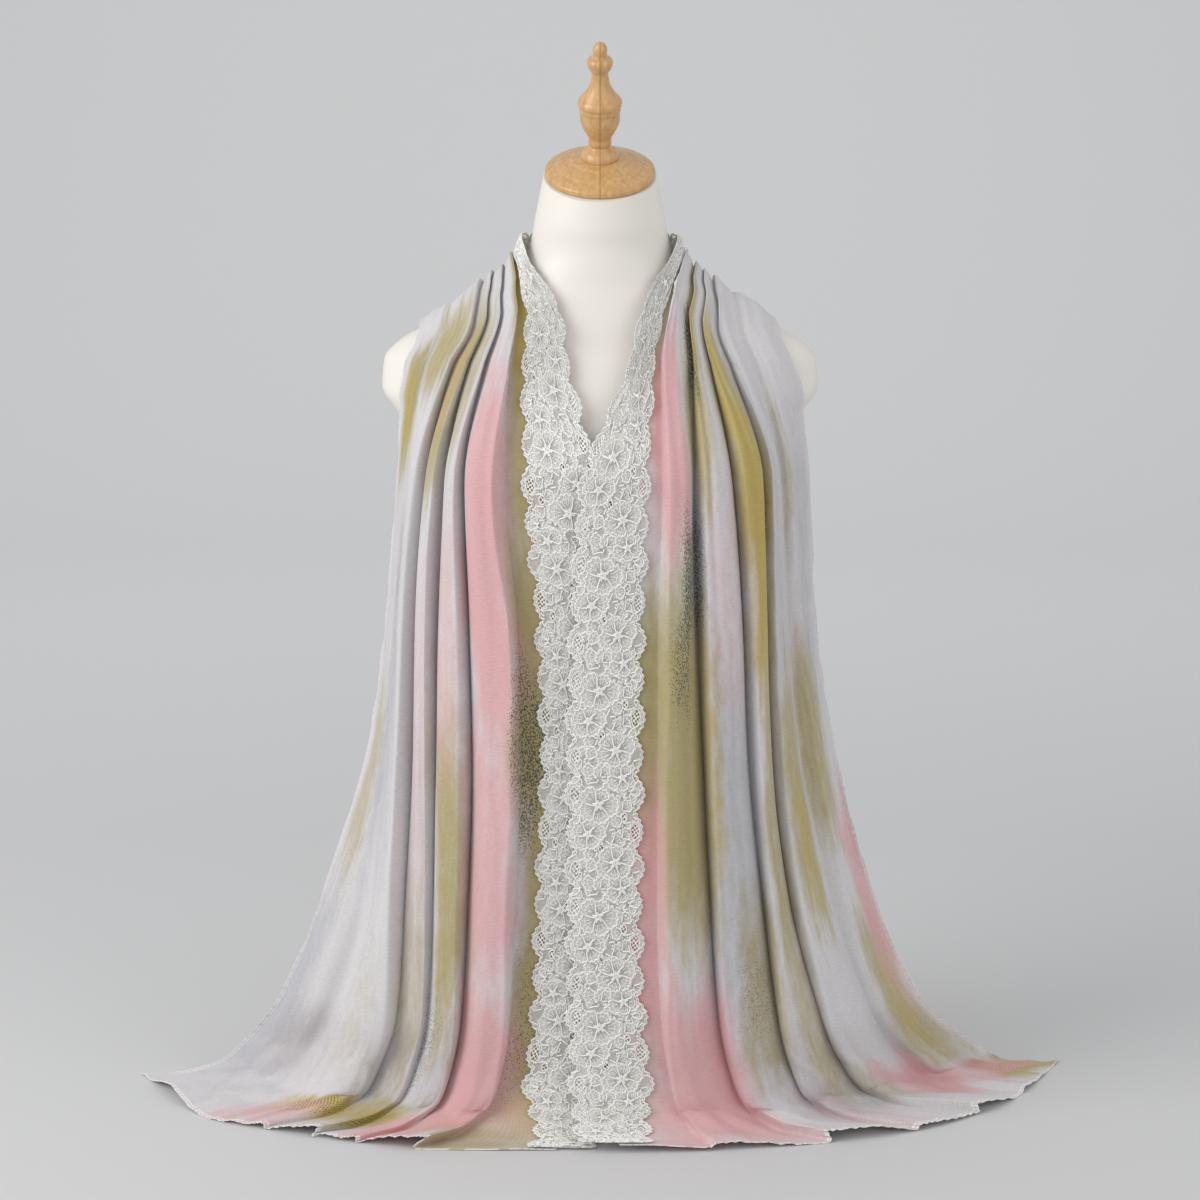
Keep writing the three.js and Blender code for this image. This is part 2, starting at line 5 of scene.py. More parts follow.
import bpy
import numpy as np
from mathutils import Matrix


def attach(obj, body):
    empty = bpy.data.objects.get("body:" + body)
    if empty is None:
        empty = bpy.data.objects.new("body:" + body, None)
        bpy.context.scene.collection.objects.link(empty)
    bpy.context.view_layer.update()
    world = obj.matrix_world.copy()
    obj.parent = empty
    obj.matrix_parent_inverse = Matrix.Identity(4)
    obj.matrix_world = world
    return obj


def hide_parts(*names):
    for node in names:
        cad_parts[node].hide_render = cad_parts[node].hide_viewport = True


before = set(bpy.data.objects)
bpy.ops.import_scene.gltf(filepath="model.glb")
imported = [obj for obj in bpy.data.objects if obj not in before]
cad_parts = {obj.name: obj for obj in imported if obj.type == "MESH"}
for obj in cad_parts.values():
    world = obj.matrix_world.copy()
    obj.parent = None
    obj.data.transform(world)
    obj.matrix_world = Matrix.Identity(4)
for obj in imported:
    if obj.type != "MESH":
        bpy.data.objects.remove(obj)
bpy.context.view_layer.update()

mm = 0.001
smoothAngle = math.radians(50)

# camera, light and floor
studio = {
    "cameraPlace": (0.0, -2.8, 1.0),
    "lookAt": (0.0, 0.0, 0.436),
    "lens": 100.0, "sensor": 36,
    # one paper for the floor and the backdrop, curved between them
    "paper": "#d0d0d0", "paperRoughness": 0.9,
    "floorSize": 8, "floorCentre": (0, 1.0, 0), "farEdge": 3.9, "backdropHeight": 5, "curve": 2.4,
    "world": "#f6f7f9", "worldLight": 0.72,
    # name, place, aim, size, watts
    "lamps": [
        ("keyLight", (-2.4, -1.5, 1.8), (0.0, 0.0, 0.42), (2.0, 2.1), 52),
        ("fillLight", (2.2, -2.2, 1.6), (0.0, 0.0, 0.4), (1.8, 1.8), 14),
        ("backdropLight", (0.0, 1.6, 2.4), (0.0, 5.0, 1.3), (3.2, 1.0), 22),
    ],
}


def linear(hexColour):
    # sRGB hex to linear RGBA
    channels = [int(hexColour[i:i + 2], 16) / 255 for i in (1, 3, 5)]
    return tuple(c / 12.92 if c <= 0.04045 else ((c + 0.055) / 1.055) ** 2.4 for c in channels) + (1.0,)


def newMaterial(name):
    # an empty material and a function that adds a node to it; a socket takes a value or (node, output)
    made = bpy.data.materials.new(name)
    made.use_nodes = True
    tree = made.node_tree
    tree.nodes.clear()

    def add(kind, links=None, **settings):
        node = tree.nodes.new("ShaderNode" + kind)
        for setting, value in settings.items():
            setattr(node, setting, value)
        for socket, value in (links or {}).items():
            if isinstance(value, tuple) and len(value) == 2 and hasattr(value[0], "outputs"):
                tree.links.new(value[0].outputs[value[1]], node.inputs[socket])
            else:
                node.inputs[socket].default_value = value
        return node
    return made, add


def addShader(add, links):
    shader = add("BsdfPrincipled", links)
    add("OutputMaterial", {"Surface": (shader, 0)})


def aimed(place, aim):
    # the rotation of a camera or a lamp at one place that looks at another
    x, y, z = np.array(aim) - np.array(place)
    return math.atan2(math.hypot(x, y), -z), 0, math.atan2(-x, y)


def addCamera():
    bpy.ops.object.camera_add(location=studio["cameraPlace"])
    camera = bpy.context.object
    camera.name = "camera"
    camera.rotation_euler = aimed(studio["cameraPlace"], studio["lookAt"])
    camera.data.lens = studio["lens"]
    camera.data.sensor_width = studio["sensor"]
    bpy.context.scene.camera = camera


def addAreaLight(name, place, aim, size, power):
    bpy.ops.object.light_add(type="AREA", location=place)
    lamp = bpy.context.object
    lamp.name = name
    lamp.rotation_euler = aimed(place, aim)
    lamp.data.shape = "RECTANGLE"
    lamp.data.size, lamp.data.size_y = size
    lamp.data.energy = power


def editing(on):
    bpy.ops.object.mode_set(mode="EDIT" if on else "OBJECT")


def selectFarEdge(sweep):
    # called in edit mode, and leaves it on
    bpy.ops.mesh.select_all(action="DESELECT")
    editing(False)
    for edge in sweep.data.edges:
        ends = [sweep.data.vertices[v].co for v in edge.vertices]
        edge.select = all(abs(end.z) < 0.01 and end.y > studio["farEdge"] for end in ends)
    editing(True)


def addStudio():
    bpy.ops.mesh.primitive_plane_add(size=studio["floorSize"], location=studio["floorCentre"])
    sweep = bpy.context.object
    sweep.name = "studioSweep"
    editing(True)
    bpy.ops.mesh.select_mode(type="EDGE")
    selectFarEdge(sweep)
    bpy.ops.mesh.extrude_region_move(TRANSFORM_OT_translate={"value": (0, 0, studio["backdropHeight"])})
    selectFarEdge(sweep)
    bpy.ops.mesh.bevel(offset=studio["curve"], segments=24, affect="EDGES")
    editing(False)
    bpy.ops.object.transform_apply(location=True, rotation=True, scale=True)
    bpy.ops.object.shade_smooth()
    paper, add = newMaterial("backgroundPaper")
    addShader(add, {"Base Color": linear(studio["paper"]), "Roughness": studio["paperRoughness"]})
    sweep.data.materials.append(paper)

    world = bpy.data.worlds.new("softbox")
    bpy.context.scene.world = world
    world.use_nodes = True
    background = world.node_tree.nodes["Background"].inputs
    background["Color"].default_value = linear(studio["world"])
    background["Strength"].default_value = studio["worldLight"]
    for lamp in studio["lamps"]:
        addAreaLight(*lamp)
    bpy.context.scene.view_settings.view_transform = "Standard"


addCamera()
addStudio()
print("camera, lights and floor are in place")


def smoothCurve(xs, ys):
    # a curve through the knots that never overshoots them; ys may hold points
    xs, ys = np.asarray(xs, float), np.asarray(ys, float)
    wide = (-1,) + (1,) * (ys.ndim - 1)
    steps = np.diff(xs)
    chords = np.diff(ys, axis=0) / steps.reshape(wide)
    slopes = np.zeros_like(ys)
    slopes[0], slopes[-1] = chords[0], chords[-1]
    for i in range(1, len(xs) - 1):
        before, after = chords[i - 1], chords[i]
        w1, w2 = 2 * steps[i] + steps[i - 1], steps[i] + 2 * steps[i - 1]
        same = before * after > 0
        safe = np.where(same, w1 * after + w2 * before, 1.0)
        slopes[i] = np.where(same, (w1 + w2) * before * after / safe, 0.0)

    def at(x):
        x = np.clip(np.asarray(x, float), xs[0], xs[-1])
        i = np.clip(np.searchsorted(xs, x, side="right") - 1, 0, len(xs) - 2)
        shape = x.shape + (1,) * (ys.ndim - 1)
        span = steps[i].reshape(shape)
        t = (x - xs[i]).reshape(shape) / span
        return ((1 + 2 * t) * (1 - t) ** 2 * ys[i] + t * t * (3 - 2 * t) * ys[i + 1]
                + t * (1 - t) ** 2 * span * slopes[i] + t * t * (t - 1) * span * slopes[i + 1])
    return at


def softNoise(x, y, seed):
    # smooth noise from -1 to 1 on a lattice one unit wide
    x, y = np.broadcast_arrays(np.asarray(x, float), np.asarray(y, float))
    size = 64
    lattice = np.random.default_rng(seed).uniform(-1, 1, (size, size))
    xi, yi = np.floor(x).astype(int), np.floor(y).astype(int)
    fx, fy = x - xi, y - yi
    fx, fy = fx * fx * fx * (fx * (6 * fx - 15) + 10), fy * fy * fy * (fy * (6 * fy - 15) + 10)
    left, right, near, far = xi % size, (xi + 1) % size, yi % size, (yi + 1) % size
    low = lattice[left, near] * (1 - fx) + lattice[right, near] * fx
    high = lattice[left, far] * (1 - fx) + lattice[right, far] * fx
    return low * (1 - fy) + high * fy


def smoothStep(low, high, x):
    t = np.clip((x - low) / (high - low), 0, 1)
    return t * t * (3 - 2 * t)


# the dress form
dressForm = {
    # z, half width, front, back
    "sections": [
        (0, 122, 66, 92), (30, 136, 80, 106), (150, 160, 103, 122), (250, 146, 94, 106), (345, 116, 84, 78),
        (430, 126, 94, 76), (520, 146, 110, 82), (560, 156, 110, 84), (596, 168, 94, 82),
        (622, 184, 80, 76), (645, 182, 70, 70), (660, 169, 64, 66), (675, 142, 61, 63), (698, 102, 57, 61),
        (715, 75, 55, 58), (735, 60, 55, 52), (765, 54, 58, 43), (799, 47, 59, 35),
    ],
    "neckTop": (0, -12, 799),
    "neckTilt": math.radians(22),
    "tiltStart": 745,
    "sides": 96, "turnedSides": 72,
    # heights of the torso's rings: from, to, how many
    "rings": [(0, 560, 48), (568, 799, 58)],
    # radius, height: a low dome with two concentric steps
    "capOutline": [
        (45, 0), (46, 1.4), (46, 3.8), (44.6, 5.6), (40.5, 7.6), (36.4, 9.0), (35.4, 9.9), (33.6, 10.8),
        (28, 12.4), (24.4, 13.4), (23.6, 14.2), (21.5, 14.9), (17.5, 16),
    ],
    # a cup at the foot, a rim, a bell above it and an acorn at the top
    "finialOutline": [
        (15.6, 0), (15.6, 1.6), (14.3, 5.2), (10.9, 8.4), (8.8, 11.0), (9.5, 12.6), (9.8, 15.2),
        (9.3, 17.3), (11.0, 20.9), (14.3, 27.2), (16.5, 34.6), (16.5, 41.4), (17.4, 44.0), (17.1, 45.6),
        (18.4, 48.8), (18.0, 50.9), (14.5, 55.5), (10.0, 61.8), (7.6, 69.1), (6.8, 75.2), (9.3, 79.8),
        (10.7, 84.9), (9.5, 88.0), (5.5, 90.7), (6.0, 95.9), (5.0, 99.4), (2.8, 101.8), (0.6, 102.4),
    ],
    "capBase": 0.3,
    "finialBase": 16.6,
}
sectionTable = np.array(dressForm["sections"], float)
formHalfWidth, formFront, formBack = (smoothCurve(sectionTable[:, 0], sectionTable[:, k]) for k in (1, 2, 3))


def stackRings(name, rings, sides):
    # a circle at the first ring, then extruded and sized ring by ring; each ring is
    # (radius x, radius y, centre y, z), and the ends are closed
    bpy.ops.object.select_all(action="DESELECT")
    rx, ry, cy, z = rings[0]
    bpy.ops.mesh.primitive_circle_add(vertices=sides, radius=1, fill_type="NGON", location=(0, 0, 0))
    piece = bpy.context.object
    piece.name = name
    editing(True)
    bpy.ops.mesh.select_all(action="SELECT")
    bpy.ops.transform.resize(value=(rx, ry, 1))
    bpy.ops.transform.translate(value=(0, cy, z))
    for nx, ny, nc, nz in rings[1:]:
        bpy.ops.mesh.extrude_region_move(TRANSFORM_OT_translate={"value": (0, nc - cy, nz - z)})
        bpy.ops.transform.resize(value=(nx / rx, ny / ry, 1), center_override=(0, nc, nz))
        rx, ry, cy, z = nx, ny, nc, nz
    bpy.ops.mesh.select_all(action="SELECT")
    bpy.ops.mesh.normals_make_consistent(inside=False)
    editing(False)
    bpy.ops.object.shade_smooth_by_angle(angle=smoothAngle)
    return piece


def addTorso():
    rings = []
    for z in np.concatenate([np.linspace(*span) for span in dressForm["rings"]]):
        front, back = float(formFront(z)), float(formBack(z))
        rings.append((float(formHalfWidth(z)) * mm, (front + back) / 2 * mm, (back - front) / 2 * mm, z * mm))
    torso = stackRings("dressForm", rings, dressForm["sides"])
    # the neck's rings lean forward
    start = dressForm["tiltStart"] * mm
    top = dressForm["neckTop"][2] * mm
    for vertex in torso.data.vertices:
        z = vertex.co.z
        if z > start:
            centre = (float(formBack(z / mm)) - float(formFront(z / mm))) / 2 * mm
            lean = math.tan(dressForm["neckTilt"]) * min(1, (z - start) / (top - start))
            vertex.co.z += (vertex.co.y - centre) * lean
    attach(torso, "root")
    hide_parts("form_torso")
    return torso


def addTurned(name, outline, base, node):
    # a moulded turned piece on the neck's tilted axis
    lengths = np.concatenate([[0], np.cumsum([math.dist(a, b) for a, b in zip(outline, outline[1:])])])
    fine = np.linspace(0, lengths[-1], 4 * len(outline))
    radius = smoothCurve(lengths, [r for r, h in outline])(fine)
    height = smoothCurve(lengths, [h for r, h in outline])(fine)
    rings = [(r * mm, r * mm, 0, h * mm) for r, h in zip(radius, height)]
    piece = stackRings(name, rings, dressForm["turnedSides"])
    tilt = dressForm["neckTilt"]
    x, y, z = dressForm["neckTop"]
    editing(True)
    bpy.ops.mesh.select_all(action="SELECT")
    bpy.ops.transform.translate(value=(0, 0, base * mm))
    editing(False)
    for vertex in piece.data.vertices:
        px, py, pz = vertex.co
        vertex.co = (px, py * math.cos(tilt) - pz * math.sin(tilt) + y * mm,
                     py * math.sin(tilt) + pz * math.cos(tilt) + z * mm)
    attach(piece, "root")
    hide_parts(node)
    return piece


torso = addTorso()
neckCap = addTurned("neckCap", dressForm["capOutline"], dressForm["capBase"], "neck_cap")
finial = addTurned("finialKnob", dressForm["finialOutline"], dressForm["finialBase"], "finial")
print("the dress form is modelled")

# the scarf's drape
drape = {
    "formClearance": 6.5,
    "leastClearance": 4.5,
    "laceTop": 746,
    "shoulderAlong": 135,
    "floorAlong": 885,
    "hemAlong": 960,
    "yokeAlong": 104, "yokeInward": 0.92, "yokeDrop": 24,
    "backSweep": [(36, math.radians(30)), (70, math.radians(60))],
    "overlap": 8,
    "floorTurn": 54,
    "hemHeight": 0.9,
    # along, z, sag, half width, depth, centre y (None: the form's own)
    "levels": [
        (190, 694, 30, None, None, None), (245, 645, 6, None, None, None), (335, 556, 0, 184, 122, 0),
        (455, 436, 0, 192, 122, 0), (570, 320, 0, 208, 122, 0), (685, 205, 0, 242, 124, 2),
        (790, 98, 0, 290, 126, 8),
    ],
    # each fold line: cloth across, below the lace's top at the nape, stand-off there
    "foldLines": [
        (0, 0, 0), (92, 62, 4), (196, 112, 8), (282, 160, 12), (368, 212, 14), (486, 268, 12),
        (620, 326, 6),
    ],
    # along: where swags turn to pleats, where pleats grow rounder, where the cloth beside the lace opens out
    "pleats": (60, 125), "rounder": (870, 950), "opening": (825, 945), "laceLines": 0.9,
    "ridgeStops": [0, 60, 135, 200, 245, 335, 455, 685, 850, 900, 960],
    "leanStops": [
        (0, -0.35), (60, -0.3), (110, 0.5), (150, 0.9), (245, 0.45), (335, 0.25), (685, 0.22), (820, 0.4),
        (885, 1.0), (960, 1.7),
    ],
}
# lines: shoulder slope, then the distance from the centre line at each level
# ends: floor x, floor y, hem x, hem y
# ridges: rise at each ridge stop
# profiles: flat valley, width of the steep lace-side wall, roundness of the slope behind it, then how
# softly the wall starts and the slope ends (1 crisp, 2 soft)
leftSide = {
    "side": -1,
    "laceShareAtHem": 0.51,
    "lines": [
        (0, 31, 22, -2, -9, -11, -11, -11), (21, 66, 71, 73, 63, 60, 65, 70),
        (35, 83, 96, 111, 108, 106, 110, 117), (47, 95, 110, 127, 134, 137, 140, 146),
        (57, 106, 123, 142, 152, 157, 164, 172), (85, 130, 143, 158, 168, 179, 200, 228),
        (113, 153, 163, 170, 181, 198, 233, 275),
    ],
    "ends": [
        (-6, -124, 2, -164), (84, -110, 146, -162), (134, -99, 204, -146), (166, -84, 243, -132),
        (200, -68, 284, -114), (264, -28, 345, -78), (338, 32, 408, 26),
    ],
    "ridges": [
        (2, 2, 1, 1, 1, 1, 1, 1, 1, 1, 1), (21, 12, 6, 9, 14, 22, 24, 25, 17, 10, 12),
        (22, 12, 5, 8, 12, 18, 21, 22, 15, 8, 5), (22, 12, 6, 9, 12, 17, 20, 12, 8, 7, 10),
        (22, 12, 5, 7, 11, 15, 17, 22, 17, 9, 5), (18, 10, 2, 2, 2, 2, 2, 4, 6, 7, 10),
    ],
    "profiles": [
        (0, 0.5, 2.0, 2, 2), (0.1, 0.14, 4.5, 1, 1), (0, 0.24, 3.2, 1, 1), (0, 0.26, 2.6, 1, 1),
        (0, 0.26, 2.4, 1, 2), (0, 0.5, 1.9, 2, 2),
    ],
}
rightSide = {
    "side": 1,
    "laceShareAtHem": 0.745,
    "lines": [
        (0, 33, 20, -20, -28, -31, -31, -31), (19, 56, 49, 49, 46, 46, 46, 50),
        (33, 74, 77, 77, 80, 86, 92, 100), (43, 86, 93, 108, 118, 124, 136, 150),
        (53, 98, 110, 134, 137, 143, 158, 186), (71, 120, 131, 150, 157, 170, 192, 228),
        (113, 153, 164, 175, 182, 201, 230, 274),
    ],
    "ends": [
        (-28, -130, -20, -172), (62, -114, 88, -166), (118, -102, 192, -146), (172, -82, 268, -118),
        (222, -52, 326, -76), (282, -12, 368, -28), (358, 46, 414, 62),
    ],
    "ridges": [
        (2, 2, 1, 1, 1, 1, 1, 1, 1, 1, 1), (21, 12, 6, 8, 10, 17, 21, 22, 15, 8, 4),
        (22, 12, 6, 9, 13, 21, 25, 24, 16, 10, 12), (22, 12, 6, 10, 15, 21, 21, 21, 15, 8, 5),
        (22, 12, 6, 8, 11, 13, 13, 16, 14, 10, 11), (18, 10, 4, 5, 6, 7, 6, 7, 8, 7, 6),
    ],
    "profiles": [
        (0, 0.5, 2.0, 2, 2), (0.02, 0.16, 3.6, 1, 1), (0, 0.2, 4.2, 1, 1), (0, 0.22, 3.0, 1, 1),
        (0, 0.26, 2.6, 1, 1.4), (0, 0.34, 1.8, 1.3, 2),
    ],
}
clothAtLines = [row[0] for row in drape["foldLines"]]
lastLine = len(clothAtLines) - 1
clothToLine = smoothCurve(clothAtLines, range(lastLine + 1))
lineToCloth = smoothCurve(range(lastLine + 1), clothAtLines)


def formAt(z, clearance):
    front, back = formFront(z), formBack(z)
    return formHalfWidth(z) + clearance, (front + back) / 2 + clearance, (back - front) / 2


def clearOfForm(points, clearance):
    halfWidth, halfDepth, centre = formAt(points[..., 2], clearance)
    x, y = points[..., 0], points[..., 1] - centre
    reach = np.hypot(x / halfWidth, y / halfDepth)
    grow = np.where(reach < 1, 1 / np.maximum(reach, 0.01), 1)
    return np.stack([x * grow, centre + y * grow, points[..., 2]], axis=-1)


def onShoulderSlope(distance):
    clearance, step = drape["formClearance"], 0.5
    z, walked = float(drape["laceTop"]), 0.0
    x = float(formHalfWidth(z)) + clearance
    while walked < distance:
        nextX = float(formHalfWidth(z - step)) + clearance
        walked += math.hypot(step, nextX - x)
        x, z = nextX, z - step
    return np.array([x, float(formBack(z) - formFront(z)) / 2, z + clearance / 2])


def onBackOfForm(x, z):
    halfWidth, halfDepth, centre = (float(v) for v in formAt(z, drape["formClearance"]))
    return np.array([x, centre + halfDepth * math.sqrt(max(0, 1 - (x / halfWidth) ** 2)), z])


def stretched(vector, length):
    return vector * length / np.linalg.norm(vector)


def foldLinePath(half, i):
    # one fold line, from the centre back over the shoulder and down to the hem
    side, line, ends = half["side"], half["lines"][i], half["ends"][i]
    clearance = drape["formClearance"]
    lap = drape["overlap"] * max(0, 1 - i / 2) if side > 0 else 0
    _, nape, standOff = drape["foldLines"][i]
    napeZ = drape["laceTop"] - nape
    napeY = float(formBack(napeZ)) + clearance + standOff
    shoulder = onShoulderSlope(line[0])
    behind = onBackOfForm(shoulder[0] * drape["yokeInward"], shoulder[2] - drape["yokeDrop"] * min(i, 1))
    knots = [(0, (0, napeY, napeZ))]
    for along, angle in drape["backSweep"]:
        sweep = 1 - math.cos(angle)
        knots.append((along, (behind[0] * math.sin(angle), napeY + (behind[1] - napeY) * sweep,
                              napeZ + (behind[2] - napeZ) * sweep)))
    along, first = knots[1]
    knots.insert(0, (-along, (-first[0], first[1], first[2])))
    knots += [(drape["yokeAlong"], behind), (drape["shoulderAlong"], shoulder)]
    for (along, levelZ, sag, halfWidth, depth, centre), x in zip(drape["levels"], line[1:]):
        z = levelZ - sag * i / lastLine
        if halfWidth is None:
            halfWidth, depth, centre = (float(v) for v in formAt(z, clearance))
        y = centre - depth * math.sqrt(max(0, 1 - (x / halfWidth) ** 2))
        knots.append((along, (x, y - lap, z)))
    floorX, floorY, hemX, hemY = ends
    turn, height = drape["floorTurn"], drape["hemHeight"] + lap
    corner, hem = np.array([floorX, floorY - lap, height]), np.array([hemX, hemY, height])
    above = corner + stretched(np.array(knots[-1][1]) - corner, turn)
    beyond = corner + stretched(hem - corner, min(turn, 0.8 * np.linalg.norm(hem - corner)))
    floorAlong = drape["floorAlong"]
    knots += [(floorAlong - turn, above), (floorAlong, (above + beyond) / 4 + corner / 2),
              (floorAlong + turn, beyond), (drape["hemAlong"], hem)]
    curve = smoothCurve([k[0] for k in knots], np.array([np.asarray(k[1], float) for k in knots]))
    return lambda u: curve(u) * np.array([side, 1, 1])


for half in (leftSide, rightSide):
    half["paths"] = [foldLinePath(half, i) for i in range(lastLine + 1)]
    half["rises"] = smoothCurve(drape["ridgeStops"], np.array(half["ridges"], float).T)
leanAt = smoothCurve([s[0] for s in drape["leanStops"]], [s[1] for s in drape["leanStops"]])


def lineStack(half, u):
    points = np.stack([path(u) for path in half["paths"]])
    slopes = np.empty_like(points)
    slopes[0], slopes[-1] = points[1] - points[0], points[-1] - points[-2]
    slopes[1:-1] = (points[2:] - points[:-2]) / 2
    return points, slopes


def between(stack, q):
    # the smooth surface through the seven fold lines, at a real number q across them
    points, slopes = stack
    i = np.clip(np.floor(q).astype(int), 0, lastLine - 1)
    t = (q - i)[..., None]
    own = np.arange(points.shape[1])
    made = ((1 + 2 * t) * (1 - t) ** 2 * points[i, own] + t * t * (3 - 2 * t) * points[i + 1, own]
            + t * (1 - t) ** 2 * slopes[i, own] + t * t * (t - 1) * slopes[i + 1, own])
    return clearOfForm(made, drape["formClearance"])


def unit(vectors):
    return vectors / np.maximum(np.linalg.norm(vectors, axis=-1, keepdims=True), 1e-9)


def foldProfile(half, u, strip, s):
    # a pleat's height from 0 to 1 across its strip: a steep wall on the lace side, then a long slope;
    # at the nape it is an even swag
    shape = np.array(half["profiles"])[strip]
    wobble = 1 + 0.3 * softNoise(u / 120, strip * 3.1 + half["side"] * 7, 11)
    flat, wall, power = shape[:, 0], shape[:, 1] * wobble, shape[:, 2]
    rounder = smoothStep(*drape["rounder"], u)
    climb = np.sin(np.pi / 2 * np.clip((s - flat) / wall, 0, 1)) ** (shape[:, 3] + 0.8 * rounder)
    t = np.clip((s - flat - wall) / (1 - flat - wall), 0, 1)
    pleat = np.where(s < flat + wall, climb, np.maximum(1 - t ** (power - 0.8 * rounder), 0) ** shape[:, 4])
    swag = np.sin(np.pi * s) ** 2
    share = smoothStep(*drape["pleats"], u)
    return swag * (1 - share) + pleat * share


def openedAtFloor(half, u, q):
    # on the floor the lace keeps its width, and the cloth beside it opens out instead
    edge = drape["laceLines"]
    keep = 1 - (1 - half["laceShareAtHem"]) * smoothStep(*drape["opening"], u)
    beside = edge * keep + (q - edge) / 0.1 * (1 - edge * keep)
    return np.where(q < edge, q * keep, np.where(q < 1, beside, q))


def drapedPoints(half, u, q):
    # the cloth's middle at distances u along and lines q across, both flat arrays
    q = openedAtFloor(half, u, q)
    strip = np.clip(np.floor(q).astype(int), 0, lastLine - 1)
    s = q - strip
    here = lineStack(half, u)
    point = between(here, q)
    nudge, step = 0.02, 2
    across = between(here, q + nudge) - between(here, q - nudge)
    down = between(lineStack(half, u + step), q) - between(lineStack(half, u - step), q)
    outward = unit(np.cross(down, across) * half["side"])
    rise = half["rises"](u)[np.arange(len(u)), strip] * foldProfile(half, u, strip, s)
    point = point + outward * rise[:, None] - unit(across) * (leanAt(u) * rise)[:, None]
    return clearOfForm(point, drape["leastClearance"])


def clothGrid(us, qs):
    # points for every row u (negative: left side) and column q, with outward directions
    u, q = (a.ravel() for a in np.meshgrid(us, qs, indexing="ij"))
    points = np.empty((u.size, 3))
    for half, mine in ((leftSide, u < 0), (rightSide, u >= 0)):
        if mine.any():
            points[mine] = drapedPoints(half, np.abs(u[mine]), q[mine])
    points = points.reshape(len(us), len(qs), 3)
    outward = unit(np.cross(np.gradient(points, axis=0), np.gradient(points, axis=1)))
    return points, outward


# the cloth: a light voile with a narrow turned hem
voile = {
    "width": 620, "underLace": 42, "thickness": 0.6, "formGap": 3.6, "floorGap": 0.3,
    "rowStep": 4.0, "floorRowStep": 1.8, "floorRowsFrom": 884,
    "napeCut": 86, "napeRows": 44,
    # soft troughs and ridges, listed: line across, from, to, drift across, height, half width in lines
    "leftCreases": [
        (1.42, 240, 640, 0.1, -1.0, 0.09), (1.66, 330, 560, 0.12, 0.8, 0.08),
        (1.35, 660, 880, 0.2, -1.1, 0.1), (1.62, 740, 905, -0.16, 1.0, 0.09),
        (2.45, 210, 520, 0.04, -1.3, 0.08), (2.55, 560, 860, 0.1, -1.8, 0.09),
        (3.5, 190, 430, -0.05, -1.4, 0.1), (3.5, 500, 820, 0.15, 1.6, 0.12),
        (4.42, 175, 420, 0.12, -2.0, 0.1), (4.72, 230, 560, 0.08, -2.4, 0.12),
        (4.5, 470, 800, -0.1, -3.0, 0.16), (5.2, 150, 330, 0.12, -1.7, 0.1),
        (5.35, 300, 620, -0.1, 1.8, 0.12), (4.95, 600, 925, 0.95, -6.5, 0.2),
        (5.6, 640, 880, 0.1, 3.4, 0.2), (4.35, 760, 930, 0.1, 3.0, 0.14), (5.45, 850, 955, 0.2, -3.6, 0.14),
        (2.3, 850, 950, 0.1, -1.6, 0.1), (3.4, 860, 955, 0.12, 1.6, 0.1), (1.3, 850, 945, 0.14, -1.8, 0.1),
        (1.75, 180, 300, 0.05, -1.2, 0.06),
    ],
    "rightCreases": [
        (1.4, 200, 470, 0.1, -1.0, 0.09), (1.6, 420, 760, 0.14, -1.4, 0.1), (1.35, 720, 900, 0.2, 1.2, 0.1),
        (2.36, 230, 600, 0.04, -1.3, 0.06), (2.62, 420, 800, 0.07, -1.9, 0.08),
        (2.4, 760, 905, 0.12, 1.6, 0.08), (3.4, 190, 420, 0.08, -1.8, 0.08),
        (3.62, 260, 520, 0.1, 2.0, 0.07), (3.5, 560, 840, 0.1, -1.8, 0.1),
        (4.4, 180, 480, 0.05, -1.8, 0.08), (4.55, 480, 780, 0.06, 2.2, 0.1),
        (4.45, 760, 930, 0.2, -2.6, 0.12), (5.25, 165, 360, 0.1, -2.2, 0.09),
        (5.5, 220, 520, 0.05, -3.0, 0.13), (5.3, 430, 760, -0.06, 3.0, 0.12),
        (5.62, 560, 840, 0.05, -3.2, 0.14), (5.3, 720, 930, 0.36, 4.6, 0.14),
        (5.6, 800, 940, 0.2, -3.8, 0.16), (1.6, 860, 950, 0.1, -1.8, 0.1), (2.5, 860, 955, 0.14, 1.6, 0.12),
        (3.5, 850, 955, 0.1, -1.8, 0.12),
    ],
    # like ones round the back; left of the centre the distances are negative
    "napeCreases": [
        (1.5, -90, 60, 0.2, -1.6, 0.1), (2.4, -60, 90, -0.2, 1.8, 0.1), (3.4, -80, 80, 0.15, -2.0, 0.12),
        (4.5, -90, 70, -0.15, 2.0, 0.12), (5.3, -70, 90, 0.2, -2.2, 0.14),
    ],
}


def handCreases(us, qs):
    u, q = np.meshgrid(us, qs, indexing="ij")
    total = np.zeros(u.shape)
    tables = ((voile["leftCreases"], -u), (voile["rightCreases"], u), (voile["napeCreases"], u))
    for table, far in tables:
        for line, start, end, drift, height, halfWidth in table:
            t = np.clip((far - start) / (end - start), 0, 1)
            middle = line + drift * (t - 0.5) + 0.25 * halfWidth * np.sin(7 * t + line * 5)
            total += height * np.sin(np.pi * t) ** 0.8 * np.exp(-((q - middle) / halfWidth) ** 2)
    return total


